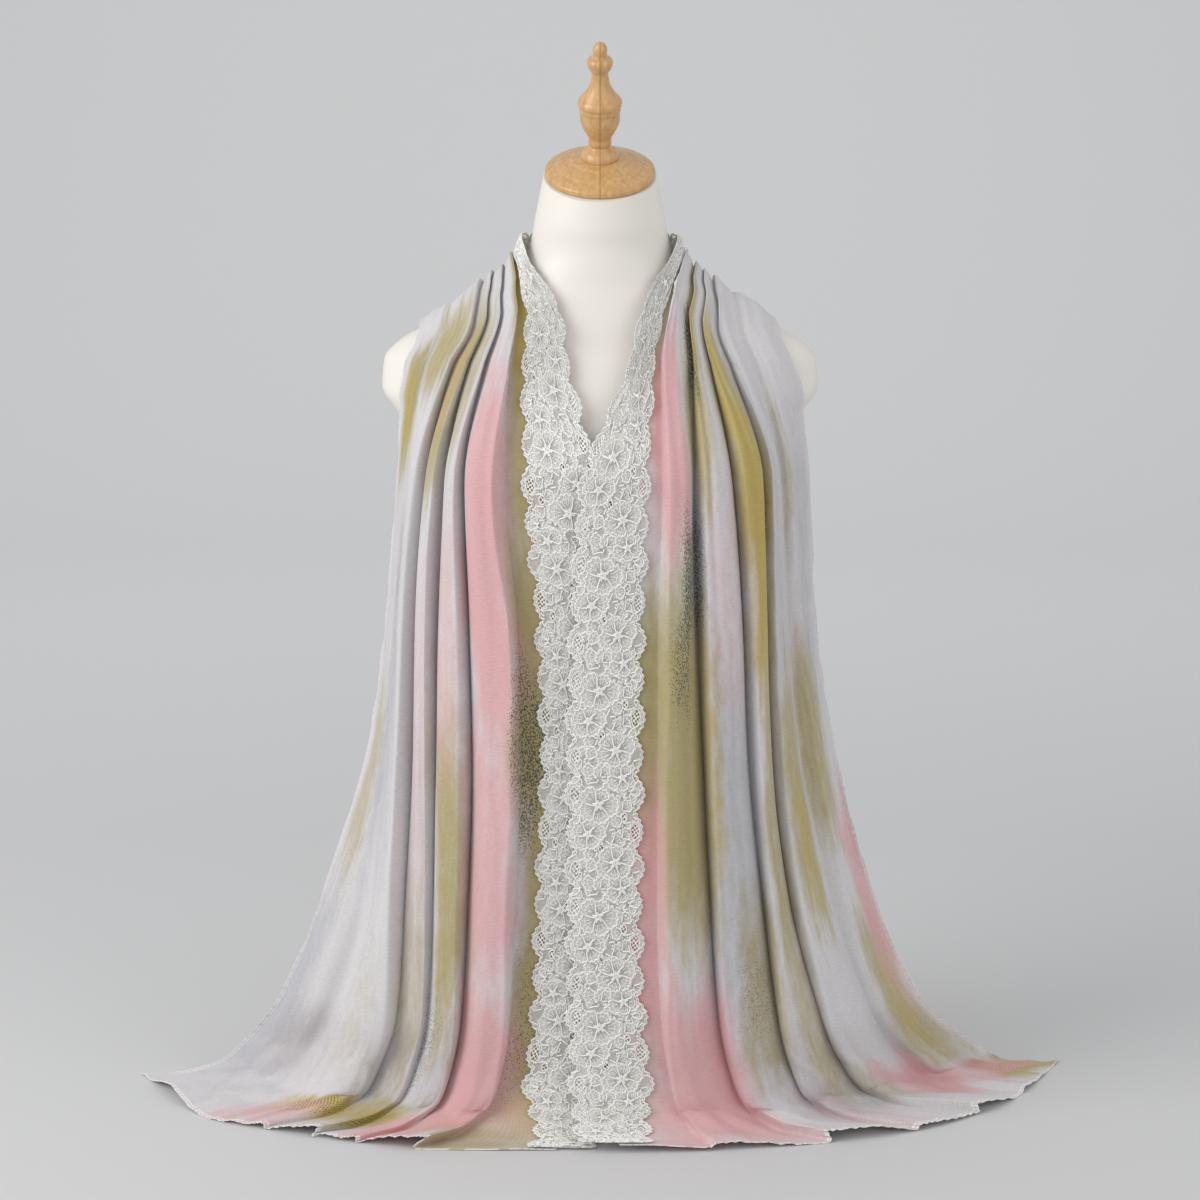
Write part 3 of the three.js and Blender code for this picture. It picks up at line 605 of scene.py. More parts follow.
def looseFolds(us, cloth):
    # what no table lists: a slow unevenness, buckles on the floor, and waves at the hem and the free edge
    u, c = np.meshgrid(us, cloth, indexing="ij")
    far = np.abs(u)
    side = np.where(u < 0, 0, 40)
    slow = softNoise(c / 30 + side, far / 190, 3) * 0.9 + softNoise(c / 12 + side, far / 110, 4) * 0.35
    floor = smoothStep(840, 900, far)
    buckles = 1.4 * softNoise(c / 34 + side, far / 26, 6) + 0.7 * softNoise(c / 15 + side, far / 16, 7)
    hem = smoothStep(952, 960, far) * 0.8 * np.sin(2 * np.pi * c / 6.2 + 2 * softNoise(c / 22, side, 8))
    edge = smoothStep(voile["width"] - 9, voile["width"], c) * 1.1 * softNoise(far / 17, side, 9)
    return slow * smoothStep(30, 110, far) + floor * buckles + hem + edge


def meshFrom(name, points, faces, uvs=None, attributes=None):
    # points in millimetres, faces as rows of four corners
    mesh = bpy.data.meshes.new(name)
    mesh.from_pydata((np.asarray(points).reshape(-1, 3) * mm).tolist(), [], np.asarray(faces).tolist())
    mesh.polygons.foreach_set("use_smooth", np.ones(len(mesh.polygons), bool))
    if uvs is not None:
        loops = np.empty(len(mesh.loops), int)
        mesh.loops.foreach_get("vertex_index", loops)
        layer = mesh.uv_layers.new(name="cut")
        layer.data.foreach_set("uv", np.asarray(uvs).reshape(-1, 2)[loops].astype(np.float32).ravel())
    for key, values in (attributes or {}).items():
        made = mesh.attributes.new(key, "FLOAT_COLOR", "POINT")
        made.data.foreach_set("color", np.asarray(values, np.float32).reshape(-1, 4).ravel())
    piece = bpy.data.objects.new(name, mesh)
    bpy.context.scene.collection.objects.link(piece)
    return piece


def gridFaces(rows, columns):
    r, c = (a.ravel() for a in np.meshgrid(np.arange(rows - 1), np.arange(columns - 1), indexing="ij"))
    a = r * columns + c
    return np.stack([a, a + columns, a + columns + 1, a + 1], axis=1)


# the print: soft washes brushed along the length, with painted shade among the grey ones; each stroke is the
# cloth across, the length along, half width, half length, strength
washPrint = {
    "leftPink": [
        (146, 400, 56, 200, 1.0), (150, 640, 58, 150, 0.8), (150, 850, 66, 120, 1.0),
        (250, 470, 46, 150, 0.5), (330, 560, 50, 200, 0.4), (190, 942, 74, 40, 0.95),
        (430, 940, 60, 26, 0.7), (350, 270, 40, 90, 0.3),
    ],
    "rightPink": [
        (122, 300, 50, 120, 0.95), (150, 860, 90, 130, 1.0), (76, 700, 44, 160, 0.85),
        (250, 430, 50, 140, 0.35), (590, 700, 36, 110, 0.75), (480, 880, 66, 56, 0.9),
        (560, 900, 60, 40, 0.75), (300, 900, 40, 70, 0.4),
    ],
    "leftOlive": [
        (64, 300, 46, 150, 0.95), (84, 500, 44, 170, 0.95), (66, 720, 42, 290, 1.0),
        (240, 670, 38, 190, 0.9), (262, 250, 40, 110, 0.6), (336, 256, 48, 110, 0.95),
        (452, 215, 74, 66, 0.85), (548, 270, 54, 80, 0.9), (330, 780, 40, 150, 0.5),
        (560, 600, 46, 110, 0.6), (430, 790, 50, 90, 0.3), (196, 700, 30, 90, 0.45), (96, 150, 50, 70, 1.0),
        (306, 905, 80, 36, 0.75), (120, 930, 70, 38, 0.8), (470, 420, 40, 90, 0.3),
    ],
    "rightOlive": [
        (148, 560, 76, 210, 1.0), (96, 540, 44, 170, 0.9), (66, 210, 38, 90, 0.85), (60, 830, 32, 100, 0.6),
        (206, 240, 36, 130, 0.75), (266, 760, 42, 110, 0.65), (318, 300, 50, 150, 0.8),
        (340, 620, 44, 200, 0.75), (436, 600, 52, 150, 0.75), (524, 560, 56, 110, 0.75),
        (560, 790, 54, 90, 0.75), (598, 920, 50, 50, 0.95), (350, 800, 44, 120, 0.6),
        (400, 880, 50, 70, 0.5), (500, 330, 34, 90, 0.4),
    ],
    "leftGold": [
        (405, 915, 56, 24, 0.95), (285, 928, 54, 22, 0.95), (188, 934, 44, 16, 0.6), (80, 190, 30, 80, 0.8),
        (545, 280, 34, 46, 0.6), (340, 250, 26, 60, 0.5),
    ],
    "rightGold": [
        (334, 390, 50, 150, 1.0), (306, 250, 30, 80, 0.8), (208, 262, 22, 100, 0.6),
        (590, 930, 34, 34, 0.75), (446, 650, 30, 90, 0.6), (205, 560, 28, 150, 0.4),
        (560, 800, 26, 50, 0.5),
    ],
    "leftStipple": [
        (88, 560, 30, 110, 0.8), (110, 240, 14, 60, 0.4), (268, 820, 24, 70, 0.5), (90, 790, 24, 90, 0.5),
    ],
    "rightStipple": [
        (168, 410, 46, 80, 1.0), (198, 225, 26, 60, 0.95), (140, 480, 40, 60, 0.75),
        (300, 210, 20, 50, 0.5), (600, 640, 22, 70, 0.5), (255, 760, 34, 60, 0.45),
    ],
    # grey strokes near the outer edge of the left side are painted shade; the others are print
    "leftGreyAndShade": [
        (470, 520, 70, 220, 0.6), (560, 420, 60, 180, 0.4), (232, 850, 44, 100, 0.6),
        (345, 880, 80, 90, 0.6), (590, 800, 56, 150, 0.8), (520, 860, 70, 90, 0.4),
    ],
    "rightGreyAndShade": [
        (240, 660, 60, 240, 0.7), (420, 400, 56, 180, 0.5), (560, 420, 60, 180, 0.55),
        (330, 880, 80, 70, 0.6), (180, 400, 60, 90, 0.4),
    ],
}


def brushed(strokes, u, c, seed):
    # each stroke fades at its sides and frays at its ends
    total = np.zeros(np.broadcast(u, c).shape)
    fray = softNoise(c / 14, u / 120, seed) * 16 + softNoise(c / 5, u / 80, seed + 1) * 8
    drift = softNoise(c / 60, u / 70, seed + 2) * 12
    for across, along, halfWidth, halfLength, strength in strokes:
        sides = 1 - smoothStep(0.3, 1.35, np.abs(c - across + drift) / halfWidth)
        ends = 1 - smoothStep(0.3, 1.15, np.abs(u - along + fray) / (halfLength + 10))
        total = np.maximum(total, sides * ends * strength)
    return total


def printAndShadeOn(us, cloth):
    u, c = np.meshgrid(us, cloth, indexing="ij")
    far = np.abs(u)
    found = {}
    for i, colour in enumerate(("Pink", "Olive", "Gold", "Stipple", "GreyAndShade")):
        left = brushed(washPrint["left" + colour], far, c, 20 + 6 * i)
        right = brushed(washPrint["right" + colour], far, c, 60 + 6 * i)
        found[colour] = np.where(u < 0, left, right)
    # round the nape a few soft strokes of the same colours
    nape = 1 - smoothStep(60, 110, far)
    found["Olive"] = np.maximum(found["Olive"], nape * smoothStep(-0.1, 1.1, softNoise(c / 60, u / 46, 90)))
    found["Pink"] = np.maximum(found["Pink"], nape * smoothStep(-0.1, 1.1, softNoise(c / 74, u / 52, 91)))
    one = np.ones(u.shape)
    # the blue channel carries the grey print together with the painted shade
    wash = np.stack([found["Pink"], found["Olive"], found["GreyAndShade"], one], axis=-1)
    marks = np.stack([found["Stipple"], found["Gold"], one * 0, one], axis=-1)
    return {"wash": wash, "marks": marks}


def columnLines():
    # close columns on each pleat's steep wall, wider ones on its slope
    inner, split = float(clothToLine(voile["underLace"])), 0.36
    wall = np.linspace(0, split, 17)[:-1]
    slope = split + (1 - split) * np.linspace(0, 1, 16)[:-1] ** 0.9
    pleat = np.concatenate([wall, slope])
    rows = [np.linspace(inner, 1, 9)[:-1]] + [line + pleat for line in range(1, lastLine)]
    return np.append(np.concatenate(rows), float(lastLine))


def rowPlaces(start, end):
    # rows from the nape out to the hem, closer together on the floor; start and end are not negative
    split = min(max(voile["floorRowsFrom"], start), end)
    upper = np.linspace(start, split, int(round((split - start) / voile["rowStep"])) + 1)
    if end <= split:
        return upper
    lower = np.linspace(split, end, int(round((end - split) / voile["floorRowStep"])) + 1)
    return np.concatenate([upper, lower[1:]])


def clothPiece(name, us, nodes):
    qs = columnLines()
    cloth = lineToCloth(qs)
    points, outward = clothGrid(us, qs)
    bumps = (looseFolds(us, cloth) + handCreases(us, qs)) * smoothStep(80, 98, cloth)[None, :]
    points = points + outward * bumps[..., None]
    points = clearOfForm(points, voile["formGap"])
    points[..., 2] = np.maximum(points[..., 2], voile["thickness"] + voile["floorGap"])
    places = np.stack(np.meshgrid(cloth * mm, us * mm), axis=-1)
    piece = meshFrom(name, points, gridFaces(len(us), len(qs)), places, printAndShadeOn(us, cloth))
    bpy.ops.object.select_all(action="DESELECT")
    bpy.context.view_layer.objects.active = piece
    piece.select_set(True)
    shell = piece.modifiers.new("shell", "SOLIDIFY")
    shell.thickness = voile["thickness"] * mm
    shell.offset = -1
    bpy.ops.object.modifier_apply(modifier="shell")
    piece.data.set_sharp_from_angle(angle=smoothAngle)
    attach(piece, "root")
    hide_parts(*nodes)
    return piece


cut, hem = voile["napeCut"], drape["hemAlong"]
clothNape = clothPiece("clothNape", np.linspace(-cut, cut, voile["napeRows"]), ["scarf_nape"])
clothLeft = clothPiece("clothLeft", -rowPlaces(cut, hem)[::-1], ["scarf_left"])
clothRight = clothPiece("clothRight", rowPlaces(cut, hem), ["scarf_right"])
print("the cloth is draped")

# the lace border: a scalloped net ground covered with ribbed petals outlined in cord
galloon = {
    "width": 80, "repeat": 96, "scallops": 3, "depth": 10, "smallLobe": 0.78, "lift": 1.6,
    "picotPitch": 5.3, "picotDepth": 2.6, "petalPinch": 0.3,
    "cordWidth": 1.3, "cordHeight": 1.0, "fineWidth": 0.55, "fineHeight": 0.4, "cordBase": 0.25,
    "flutter": 1.3, "formGap": 2.2, "floorGap": 0.6, "rowStep": 0.85, "columns": 41,
    # two cords follow each scalloped edge: how far in, width
    "edgeCords": [(0.5, 1.1), (2.2, 0.7)], "edgeCordHeight": 0.7, "edgeMargin": 0.6,
    # x along the repeat, y across, reach, turn in degrees, petals
    "flowers": [(2, 55, 15, 80, 5), (50, 24, 16, 30, 5), (25, 33, 19, 12, 5), (75, 49, 19, 50, 6)],
    # fans of three petals behind the lobes: x, y, reach, direction
    "fans": [
        (50, 20, 13, 268), (81, 19, 13, 276), (48, 61, 13, 86), (15, 61, 13, 94), (1, 18, 11, 290),
        (96, 62, 11, 104),
    ],
    # single petals between them: x, y, reach, direction, half spread
    "buds": [
        (50, 40, 16, 200, 40), (52, 36, 17, 20, 36), (0, 44, 17, 45, 38), (3, 42, 16, 225, 40),
        (60, 24, 14, 110, 38), (36, 58, 14, 290, 38), (98, 34, 13, 130, 40), (66, 70, 11, 230, 38),
        (34, 8, 10, 60, 40),
    ],
    # small windows of open net, most of them behind the lobes: x, y, half length, half width
    "eyes": [
        (16, 12, 7.5, 4.8), (80, 12, 7, 4.4), (48, 68, 7.5, 4.8), (0, 69, 6, 4), (36, 57, 3.8, 2.8),
        (62, 36, 3.4, 2.6),
    ],
    # rows of plain petals that fill the ground under the rest: y and direction of each row
    "fillRows": [(50, 270), (15, 270), (24, 270), (34, 270), (44, 90), (54, 90), (64, 90)],
    "fillSpacing": 12, "fillReach": 14, "fillSpread": 42,
}


def insetAt(u):
    # how far in the scalloped edge lies
    turn = np.abs(u) / galloon["repeat"] * galloon["scallops"]
    size = np.where(np.floor(turn) % 2 == 0, 1, galloon["smallLobe"])
    lobes = galloon["depth"] * (1 - np.abs(np.sin(np.pi * turn)) * size)
    return lobes + galloon["picotDepth"] * np.abs(np.sin(np.pi * u / galloon["picotPitch"]))


def laceSurface(start, end):
    # gives the place on the cloth of a point of the pattern, from a fine table made once
    rows = np.linspace(start, end, int((end - start) / 2) + 1)
    cloth = np.linspace(0, galloon["width"], 41)
    under, outward = clothGrid(rows, clothToLine(cloth))

    def at(x, y, height):
        fx = np.clip((x - rows[0]) / (rows[1] - rows[0]), 0, len(rows) - 1.001)
        fy = np.clip(y / (cloth[1] - cloth[0]), 0, len(cloth) - 1.001)
        i, j = fx.astype(int), fy.astype(int)
        s, t = (fx - i)[..., None], (fy - j)[..., None]
        base, way = ((g[i, j] * (1 - s) + g[i + 1, j] * s) * (1 - t)
                     + (g[i, j + 1] * (1 - s) + g[i + 1, j + 1] * s) * t for g in (under, outward))
        loose = 1 - smoothStep(0, 26, y) + 0.5 * smoothStep(70, 80, y)
        ripples = softNoise(x / 21, y / 60, 31) + 0.5 * softNoise(x / 9, y / 60, 32)
        flutter = np.maximum(galloon["flutter"] * loose * ripples, -0.9)
        place = base + unit(way) * (galloon["lift"] + height + flutter)[..., None]
        place = clearOfForm(place, galloon["formGap"])
        place[..., 2] = np.maximum(place[..., 2], galloon["floorGap"])
        return place
    return at


def petalsOfRepeat():
    # every petal of one repeat, the lowest first: root x, root y, reach, direction and half spread in degrees
    made, spacing = [], galloon["fillSpacing"]
    for row, (y, facing) in enumerate(galloon["fillRows"]):
        for k in range(galloon["repeat"] // spacing):
            way = facing + 40 * math.sin(2.9 * k + 1.7 * row)
            x = spacing * (k + 0.5 * (row % 2)) + 2 * math.sin(4.1 * k + row)
            reach = galloon["fillReach"] + 1.5 * math.sin(3.3 * k + row)
            made.append((x, y, reach, way, galloon["fillSpread"]))
    made += galloon["buds"]
    for x, y, reach, way in galloon["fans"]:
        made += [(x, y, reach * share, way + lean, 26) for lean, share in ((-50, 0.85), (50, 0.85), (0, 1))]
    for x, y, reach, turn, count in galloon["flowers"]:
        for k in range(count):
            size = 0.94 + 0.14 * math.sin(2.3 * k + x)
            made.append((x, y, reach * size, turn + 360 * k / count, 208 / count))
    return made


def wrapped(x):
    # a distance along, less whole repeats: from minus half of one to half of one
    repeat = galloon["repeat"]
    return np.mod(x + repeat / 2, repeat) - repeat / 2


def turned(radius, angle, x, y, degrees):
    # places at a radius and an angle from a petal's root, the petal itself pointing its own way
    along, across, way = radius * np.cos(angle), radius * np.sin(angle), math.radians(degrees)
    return np.stack([x + along * math.cos(way) - across * math.sin(way),
                     y + along * math.sin(way) + across * math.cos(way)], axis=-1)


def oval(x, y, halfLength, halfWidth):
    ring = np.linspace(0, 2 * np.pi, 17)
    return np.stack([x + halfLength * np.cos(ring), y + halfWidth * np.sin(ring)], -1)


def insidePetal(x, y, petal):
    # how far out in a petal a place is: 0 at its root, 1 on its rim, more outside it
    px, py, reach, way, spread = petal
    dx = wrapped(x - px)
    off = np.abs(np.mod(np.degrees(np.arctan2(y - py, dx)) - way + 180, 360) - 180) / spread
    rim = reach * (1 - galloon["petalPinch"] * np.minimum(off, 1) ** 3)
    return np.hypot(dx, y - py) / rim + 9 * smoothStep(0.96, 1.06, off)


def insideEye(x, y):
    # 0 in the middle of the nearest window of open net, 1 on its rim
    nearest = np.full(np.broadcast(x, y).shape, 9.0)
    for ex, ey, halfLength, halfWidth in galloon["eyes"]:
        nearest = np.minimum(nearest, np.hypot(wrapped(x - ex) / halfLength, (y - ey) / halfWidth))
    return nearest


def netAt(x, y):
    # open net, close work, and how near its petal's rim a place is
    rim, close = np.full(np.broadcast(x, y).shape, 0.9), np.zeros(np.broadcast(x, y).shape)
    for petal in petalsOfRepeat():
        away = insidePetal(x, y, petal)
        rim = np.where(away < 1, away, rim)
        close = np.maximum(close, 1 - smoothStep(0.97, 1.05, away))
    window = 1 - smoothStep(0.9, 1.0, insideEye(x, y))
    return window, close * (1 - window), rim


def motifLines():
    # every cord of one repeat: a line of points, its width and height, and which points nothing lies over
    cords = []
    wide, high = galloon["cordWidth"], galloon["cordHeight"]
    fineWide, fineHigh = galloon["fineWidth"], galloon["fineHeight"]
    petals = petalsOfRepeat()

    def keep(line, width, height, over):
        shown = insideEye(*line.T) > 1
        for petal in over:
            shown &= insidePetal(*line.T, petal) > 0.97
        cords.append((line, width, height, shown))

    def keepWhole(line, share):
        cords.append((line, wide * share, high * share, np.ones(len(line), bool)))

    for k, (x, y, reach, way, spread) in enumerate(petals):
        over = petals[k + 1:]
        turn = np.linspace(-1, 1, 25)
        angle = np.radians(spread) * turn
        pinch = galloon["petalPinch"] * np.abs(turn) ** 3
        ruffle = 1 - pinch - 0.12 * np.abs(np.sin(2.4 * np.pi * turn + 1.3 * k))
        sides = np.linspace(0.12, 0.8, 5)
        swell = np.radians(spread) * np.sin(np.pi / 2 * sides) ** 0.5
        radii = reach * np.concatenate([sides, ruffle, sides[::-1]])
        keep(turned(radii, np.concatenate([-swell, angle, swell[::-1]]), x, y, way), wide, high, over)
        # a finer line inside the rim, and two or three ribs
        inner = reach * 0.74 * ruffle[3:-3]
        keep(turned(inner, 0.9 * angle[3:-3], x, y, way), fineWide * 1.2, fineHigh, over)
        outwards = reach * np.linspace(0.38, 0.86, 6)
        for rib in (-0.5, 0, 0.5) if reach > 15 else (-0.3, 0.35):
            bent = np.radians(spread) * rib * np.linspace(0.6, 1, 6) + 0.07 * math.sin(5 * rib + k)
            keep(turned(outwards, bent, x, y, way), fineWide, fineHigh, over)
    # a knot of two rings at the heart of each flower, and a cord round each window
    for x, y, reach, _, _ in galloon["flowers"]:
        for share in (0.13, 0.06):
            keepWhole(oval(x, y, reach * share, reach * share), 1)
    for eye in galloon["eyes"]:
        keepWhole(oval(*eye), 0.8)
    return cords


def cordAt(surface, line, width, height):
    # a low rounded ribbon along a line of the pattern
    base = np.full(len(line), galloon["cordBase"])
    way = unit(np.gradient(line, axis=0))
    sidewise = np.stack([-way[:, 1], way[:, 0]], -1) * width / 2
    return np.stack([surface(*(line + sidewise).T, base), surface(*line.T, base + height),
                     surface(*(line - sidewise).T, base)], axis=1)


def laceRelief(name, surface, start, end):
    cords = motifLines()
    points, faces, total = [], [], 0
    width, repeat = galloon["width"], galloon["repeat"]

    def keep(grid):
        nonlocal total
        rows, columns = grid.shape[:2]
        faces.append(gridFaces(rows, columns)[:, ::-1] + total)
        points.append(grid.reshape(-1, 3))
        total += rows * columns

    for k in range(math.floor(start / repeat) - 1, math.ceil(end / repeat) + 1):
        shift = np.array([k * repeat, 0])
        for line, wide, high, shown in cords:
            placed = line + shift
            if start <= line.mean(axis=0)[0] + shift[0] < end:
                inset = insetAt(placed[:, 0]) + galloon["edgeMargin"]
                inside = shown & (line[:, 1] > inset) & (line[:, 1] < width - inset)
                inside &= (placed[:, 0] > start) & (placed[:, 0] < end)
                for run in np.split(np.arange(len(line)), np.flatnonzero(np.diff(inside.astype(int))) + 1):
                    if inside[run[0]] and len(run) > 1:
                        keep(cordAt(surface, placed[run], wide, high))
    along = np.arange(start + 0.4, end - 0.4, 1.0)
    for depth, wide in galloon["edgeCords"]:
        inset = insetAt(along) + depth
        for y in (inset, width - inset):
            keep(cordAt(surface, np.stack([along, y], -1), wide, galloon["edgeCordHeight"]))
    piece = meshFrom(name, np.concatenate(points), np.concatenate(faces))
    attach(piece, "root")
    return piece


def lacePiece(part, start, end, nodes):
    surface = laceSurface(start, end)
    us = np.linspace(start, end, int((end - start) / galloon["rowStep"]) + 1)
    steps = np.linspace(0, 1, galloon["columns"])
    inset = insetAt(us)[:, None]
    cloth = inset + (galloon["width"] - 2 * inset) * steps[None, :]
    along = np.broadcast_to(us[:, None], cloth.shape)
    points = surface(along, cloth, np.zeros(cloth.shape))
    window, close, rim = netAt(along, cloth)
    net = np.stack([window, close, rim, np.ones(rim.shape)], -1)
    ground = meshFrom("laceGround" + part, points, gridFaces(len(us), len(steps)),
                      np.stack([cloth * mm, along * mm], axis=-1), {"net": net})
    relief = laceRelief("laceWork" + part, surface, start, end)
    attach(ground, "root")
    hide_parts(*nodes)
    return ground, relief


lace = [
    lacePiece("Nape", -cut, cut, ["lace_nape"]),
    lacePiece("Left", -hem + 1, -cut, ["lace_left"]),
    lacePiece("Right", cut, hem - 1, ["lace_right"]),
]
print("the lace is sewn on")


def maths(add, operation, *values, **settings):
    return add("Math", dict(enumerate(values)), operation=operation, **settings), 0


def blended(add, share, low, high):
    # between two colours, each a hex or an output
    low, high = (linear(colour) if isinstance(colour, str) else colour for colour in (low, high))
    return add("Mix", {0: share, 6: low, 7: high}, data_type="RGBA"), 2


def ranged(add, value, low, high, least=0.0, most=1.0, smooth=False):
    links = {"Value": value, "From Min": low, "From Max": high, "To Min": least, "To Max": most}
    return add("MapRange", links, interpolation_type="SMOOTHSTEP" if smooth else "LINEAR"), 0


def noise(add, place, scale, detail, roughness=0.5):
    return add("TexNoise", {"Vector": place, "Scale": scale, "Detail": detail, "Roughness": roughness}), "Fac"


def cells(add, place, pitch, **sockets):
    # how far a place is from the middle of its cell; the pitch is in millimetres
    return add("TexVoronoi", {"Vector": place, "Scale": 1000 / pitch, **sockets}), "Distance"


def mapped(add, place, **sockets):
    return add("Mapping", {"Vector": place, **sockets}), 0


def bumped(add, height, strength, distance):
    return add("Bump", {"Height": height, "Strength": strength, "Distance": distance}), 0


def painted(add, name):
    return add("SeparateColor", {0: (add("Attribute", attribute_name=name), "Color")})


def shellFinish():
    # fibreglass torso, sprayed and polished: an even warm white with a soft wide gloss
    made, add = newMaterial("sprayedFibreglass")
    place = (add("TexCoord"), "Object")
    tint = blended(add, noise(add, place, scale=9.0, detail=3.0), "#ece8e0", "#e7e1d7")
    # orange peel of the spray, about 2 mm across
    peel = bumped(add, noise(add, place, scale=420.0, detail=2.0), strength=0.05, distance=0.0004)
    addShader(add, {"Base Color": tint, "Roughness": 0.42, "IOR": 1.5, "Normal": peel, "Coat Weight": 0.12,
                    "Coat Roughness": 0.3})
    return made


def turnedWoodFinish():
    # moulded plastic in a lacquered beech tone: faint long grain, a clear gloss, and the mould's parting line
    made, add = newMaterial("lacquerTonePlastic")
    place = (add("TexCoord"), "Object")
    drawnOut = mapped(add, place, Scale=(1.0, 1.0, 0.12))
    tone = add("ValToRGB", {"Fac": noise(add, drawnOut, scale=260.0, detail=5.0, roughness=0.6)})
    for stop, position, colour in zip(tone.color_ramp.elements, (0.3, 0.75), ("#bd8f55", "#d9b07a")):
        stop.position, stop.color = position, linear(colour)
    away = maths(add, "ABSOLUTE", (add("SeparateXYZ", {0: place}), "X"))
    seam = ranged(add, away, 0.0002, 0.0009, 1.0, 0.0, smooth=True)
    faint = blended(add, 0.55, (tone, 0), blended(add, seam, (tone, 0), "#8f6330"))
    addShader(add, {"Base Color": faint, "Roughness": 0.34, "IOR": 1.5, "Coat Weight": 0.35,
                    "Coat Roughness": 0.18, "Normal": bumped(add, seam, strength=0.35, distance=0.0004)})
    return made


voileLook = {
    "ground": "#d0ced4", "groundWarm": "#d8d4d1", "pink": "#d9a6a7", "olive": "#aa9c66",
    "gold": "#b9a55c", "greyAndShade": "#adacb1", "stipple": "#36443f", "dots": "#5f5426", "thread": "#ece6e2",
    "threadPitch": 1.15, "stipplePitch": 1.7, "dotPitch": 3.6,
    # in metres: where the dots begin, the rows at the edge and the hem, a stitch, its gap, a row's half width
    "dotsFrom": 0.86, "edgeRows": (0.6195, 0.6137), "hemRows": (0.9596, 0.9581),
    "stitch": 0.0034, "gap": 0.0009, "rowHalfWidth": 0.00055,
}


def voileFinish():
    # polyester-cotton voile, plain weave, printed: matt, faintly sheeny, with slubs and a grainy thread
    made, add = newMaterial("printedVoile")
    look = voileLook
    uv = (add("UVMap", uv_map="cut"), 0)
    wash, marks = painted(add, "wash"), painted(add, "marks")
    # brush marks: noise drawn out along the scarf's length
    brush = mapped(add, uv, Scale=(1.0, 0.45, 1.0))
    ragged = maths(add, "SUBTRACT", noise(add, brush, scale=90.0, detail=5.0, roughness=0.62), 0.5)
    printed = blended(add, noise(add, uv, scale=24.0, detail=3.0), look["ground"], look["groundWarm"])
    # the grey wash is partly print and partly painted shade
    for source, channel, colour, most in ((wash, "Blue", "greyAndShade", 0.8), (wash, "Green", "olive", 0.92),
                                          (marks, "Green", "gold", 0.95), (wash, "Red", "pink", 0.92)):
        rough = maths(add, "MULTIPLY_ADD", ragged, 0.75, (source, channel))
        printed = blended(add, ranged(add, rough, 0.05, 1.0, most=most, smooth=True), printed, look[colour])
    # dark printed stipple
    reach = maths(add, "MULTIPLY", (marks, "Red"), 0.62)
    inSpot = maths(add, "LESS_THAN", cells(add, uv, look["stipplePitch"]), reach)
    printed = blended(add, maths(add, "MULTIPLY", inSpot, 0.85), printed, look["stipple"])
    # small dark dots in rows on the gold patches near the hem
    slant = mapped(add, uv, Rotation=(0, 0, math.radians(40)))
    dotReach = ranged(add, (marks, "Green"), 0.5, 1.0, most=0.34)
    inDot = maths(add, "LESS_THAN", cells(add, slant, look["dotPitch"], Randomness=0.2), dotReach)
    axes = add("SeparateXYZ", {0: uv})
    across, along = (axes, "X"), maths(add, "ABSOLUTE", (axes, "Y"))
    nearHem = maths(add, "GREATER_THAN", along, look["dotsFrom"])
    printed = blended(add, maths(add, "MULTIPLY", inDot, nearHem), printed, look["dots"])
    # the weave, drawn wider than the real thread of about 0.3 mm, so that it shows
    wave = {"Vector": uv, "Scale": 0.3142 / (look["threadPitch"] * mm), "Distortion": 1.2, "Detail": 2.0}
    warp, weft = ((add("TexWave", wave, bands_direction=way), "Fac") for way in "XY")
    slub = noise(add, mapped(add, uv, Scale=(0.1, 1.0, 1.0)), scale=900.0, detail=3.0)
    grain = maths(add, "MULTIPLY_ADD", slub, 1.8, maths(add, "MULTIPLY", warp, weft))
    woven = (add("VectorMath", {0: printed, "Scale": ranged(add, grain, 0.6, 1.7, 0.87, 1.07)},
                 operation="SCALE"), 0)
    # the turned edge and the hem, each with its row of stitches
    sewn = 0.0
    for measured, other, rows in ((across, along, look["edgeRows"]), (along, across, look["hemRows"])):
        dash = maths(add, "PINGPONG", other, look["stitch"])
        dash = maths(add, "GREATER_THAN", dash, look["gap"])
        for row in rows:
            near = maths(add, "COMPARE", measured, row, look["rowHalfWidth"])
            sewn = maths(add, "MAXIMUM", sewn, maths(add, "MULTIPLY", near, dash))
    raised = maths(add, "MULTIPLY_ADD", sewn, 2.0, grain)
    addShader(add, {"Base Color": blended(add, sewn, woven, look["thread"]), "Roughness": 0.78,
                    "Specular IOR Level": 0.25, "Sheen Weight": 0.25, "Sheen Roughness": 0.45,
                    "Normal": bumped(add, raised, strength=0.32, distance=0.0003)})
    return made
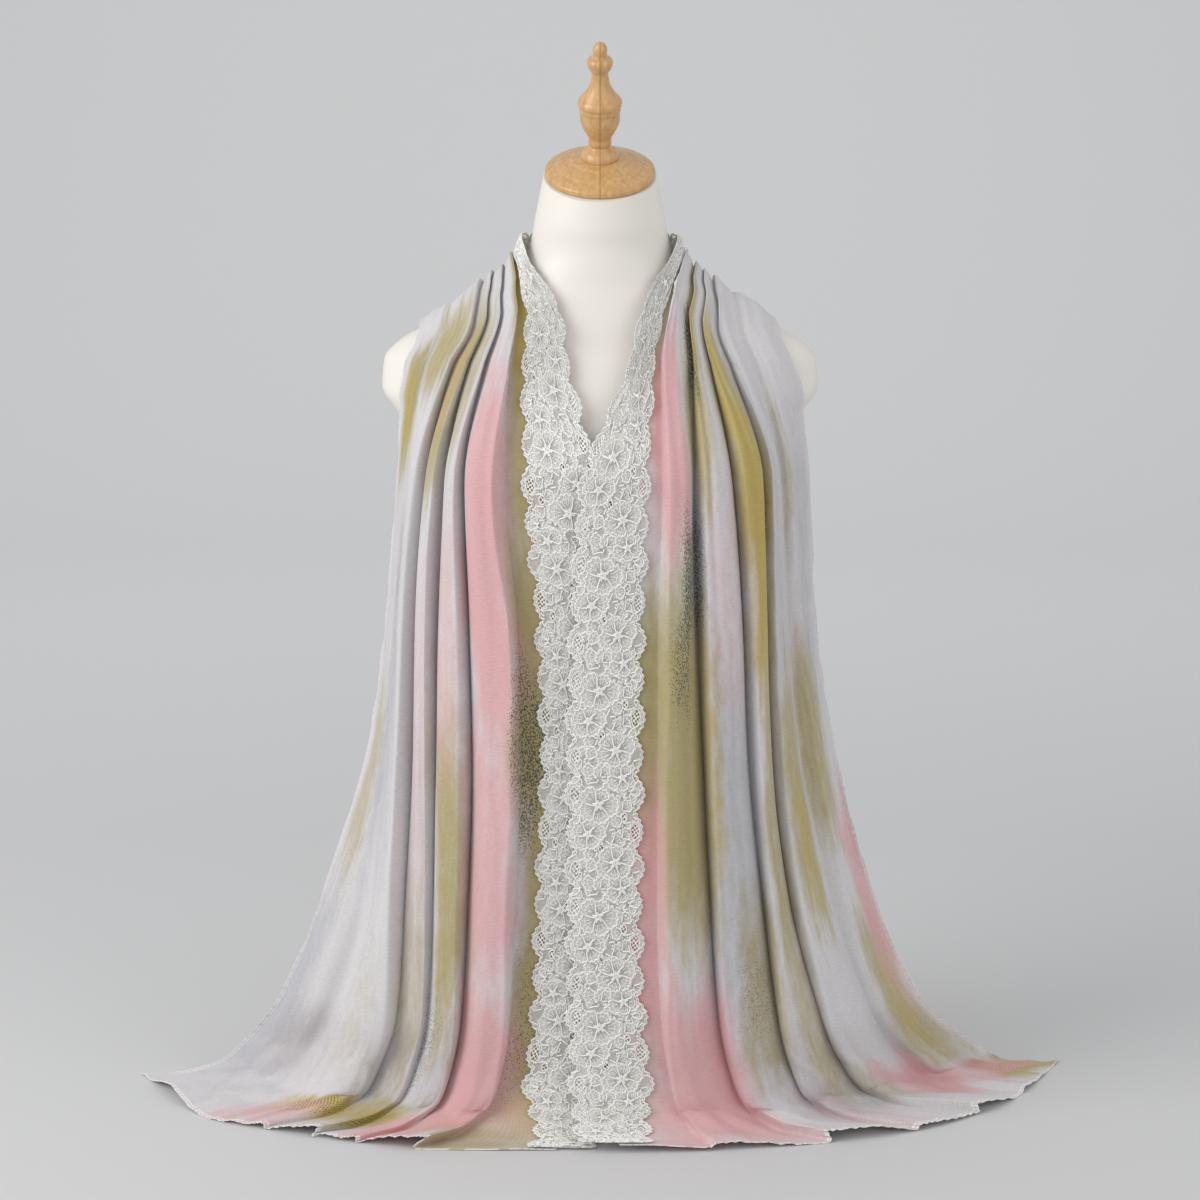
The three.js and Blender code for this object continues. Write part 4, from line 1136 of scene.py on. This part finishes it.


# the grey of the worked ground is painted shade, standing in for the shade seen through the sheer lace
laceLook = {"strand": "#f3f1ea", "worked": "#b4b1ab", "meshPitch": 2.8, "closePitch": 1.1}


def laceGroundFinish():
    # nylon raschel net: a close sheer ground, and round holes in the windows, both coarser than real ones
    made, add = newMaterial("raschelNet")
    uv = (add("UVMap", uv_map="cut"), 0)
    net = painted(add, "net")
    slant = mapped(add, uv, Rotation=(0, 0, math.radians(35)))
    holes = cells(add, slant, laceLook["meshPitch"], Randomness=0.25)
    threads = cells(add, uv, laceLook["closePitch"], Randomness=0.6)
    strands = ranged(add, holes, 0.36, 0.46, smooth=True)
    sheer = ranged(add, threads, 0.1, 0.5, 0.3, 0.65)
    worked = maths(add, "MULTIPLY_ADD", (net, "Green"), 0.35, sheer, use_clamp=True)
    alpha = add("Mix", {0: (net, "Red"), 2: worked, 3: strands}, data_type="FLOAT")
    bump = bumped(add, maths(add, "ADD", threads, holes), strength=0.5, distance=0.0004)
    # petal hearts are painted grey as painted shade, whiter towards each petal's rim
    rim = ranged(add, (net, "Blue"), 0.35, 1.0, most=0.75)
    white = maths(add, "MAXIMUM", (net, "Red"), rim)
    addShader(add, {"Base Color": blended(add, white, laceLook["worked"], laceLook["strand"]),
                    "Roughness": 0.7, "Sheen Weight": 0.2, "Normal": bump, "Alpha": (alpha, 0)})
    return made


def laceWorkFinish():
    # cotton gimp cord and close stitching: bright matt white with a twist across it
    made, add = newMaterial("cottonCordwork")
    twist = noise(add, (add("TexCoord"), "Object"), scale=1400.0, detail=2.0)
    addShader(add, {"Base Color": blended(add, twist, "#f6f4ee", "#fefdfb"), "Roughness": 0.7,
                    "Sheen Weight": 0.2, "Normal": bumped(add, twist, strength=0.5, distance=0.0003)})
    return made


torso.data.materials.append(shellFinish())
turnedWood, printedVoile = turnedWoodFinish(), voileFinish()
for piece in (neckCap, finial):
    piece.data.materials.append(turnedWood)
for piece in (clothNape, clothLeft, clothRight):
    piece.data.materials.append(printedVoile)
netGround, cordwork = laceGroundFinish(), laceWorkFinish()
for ground, relief in lace:
    ground.data.materials.append(netGround)
    relief.data.materials.append(cordwork)
print("the finishes are on")
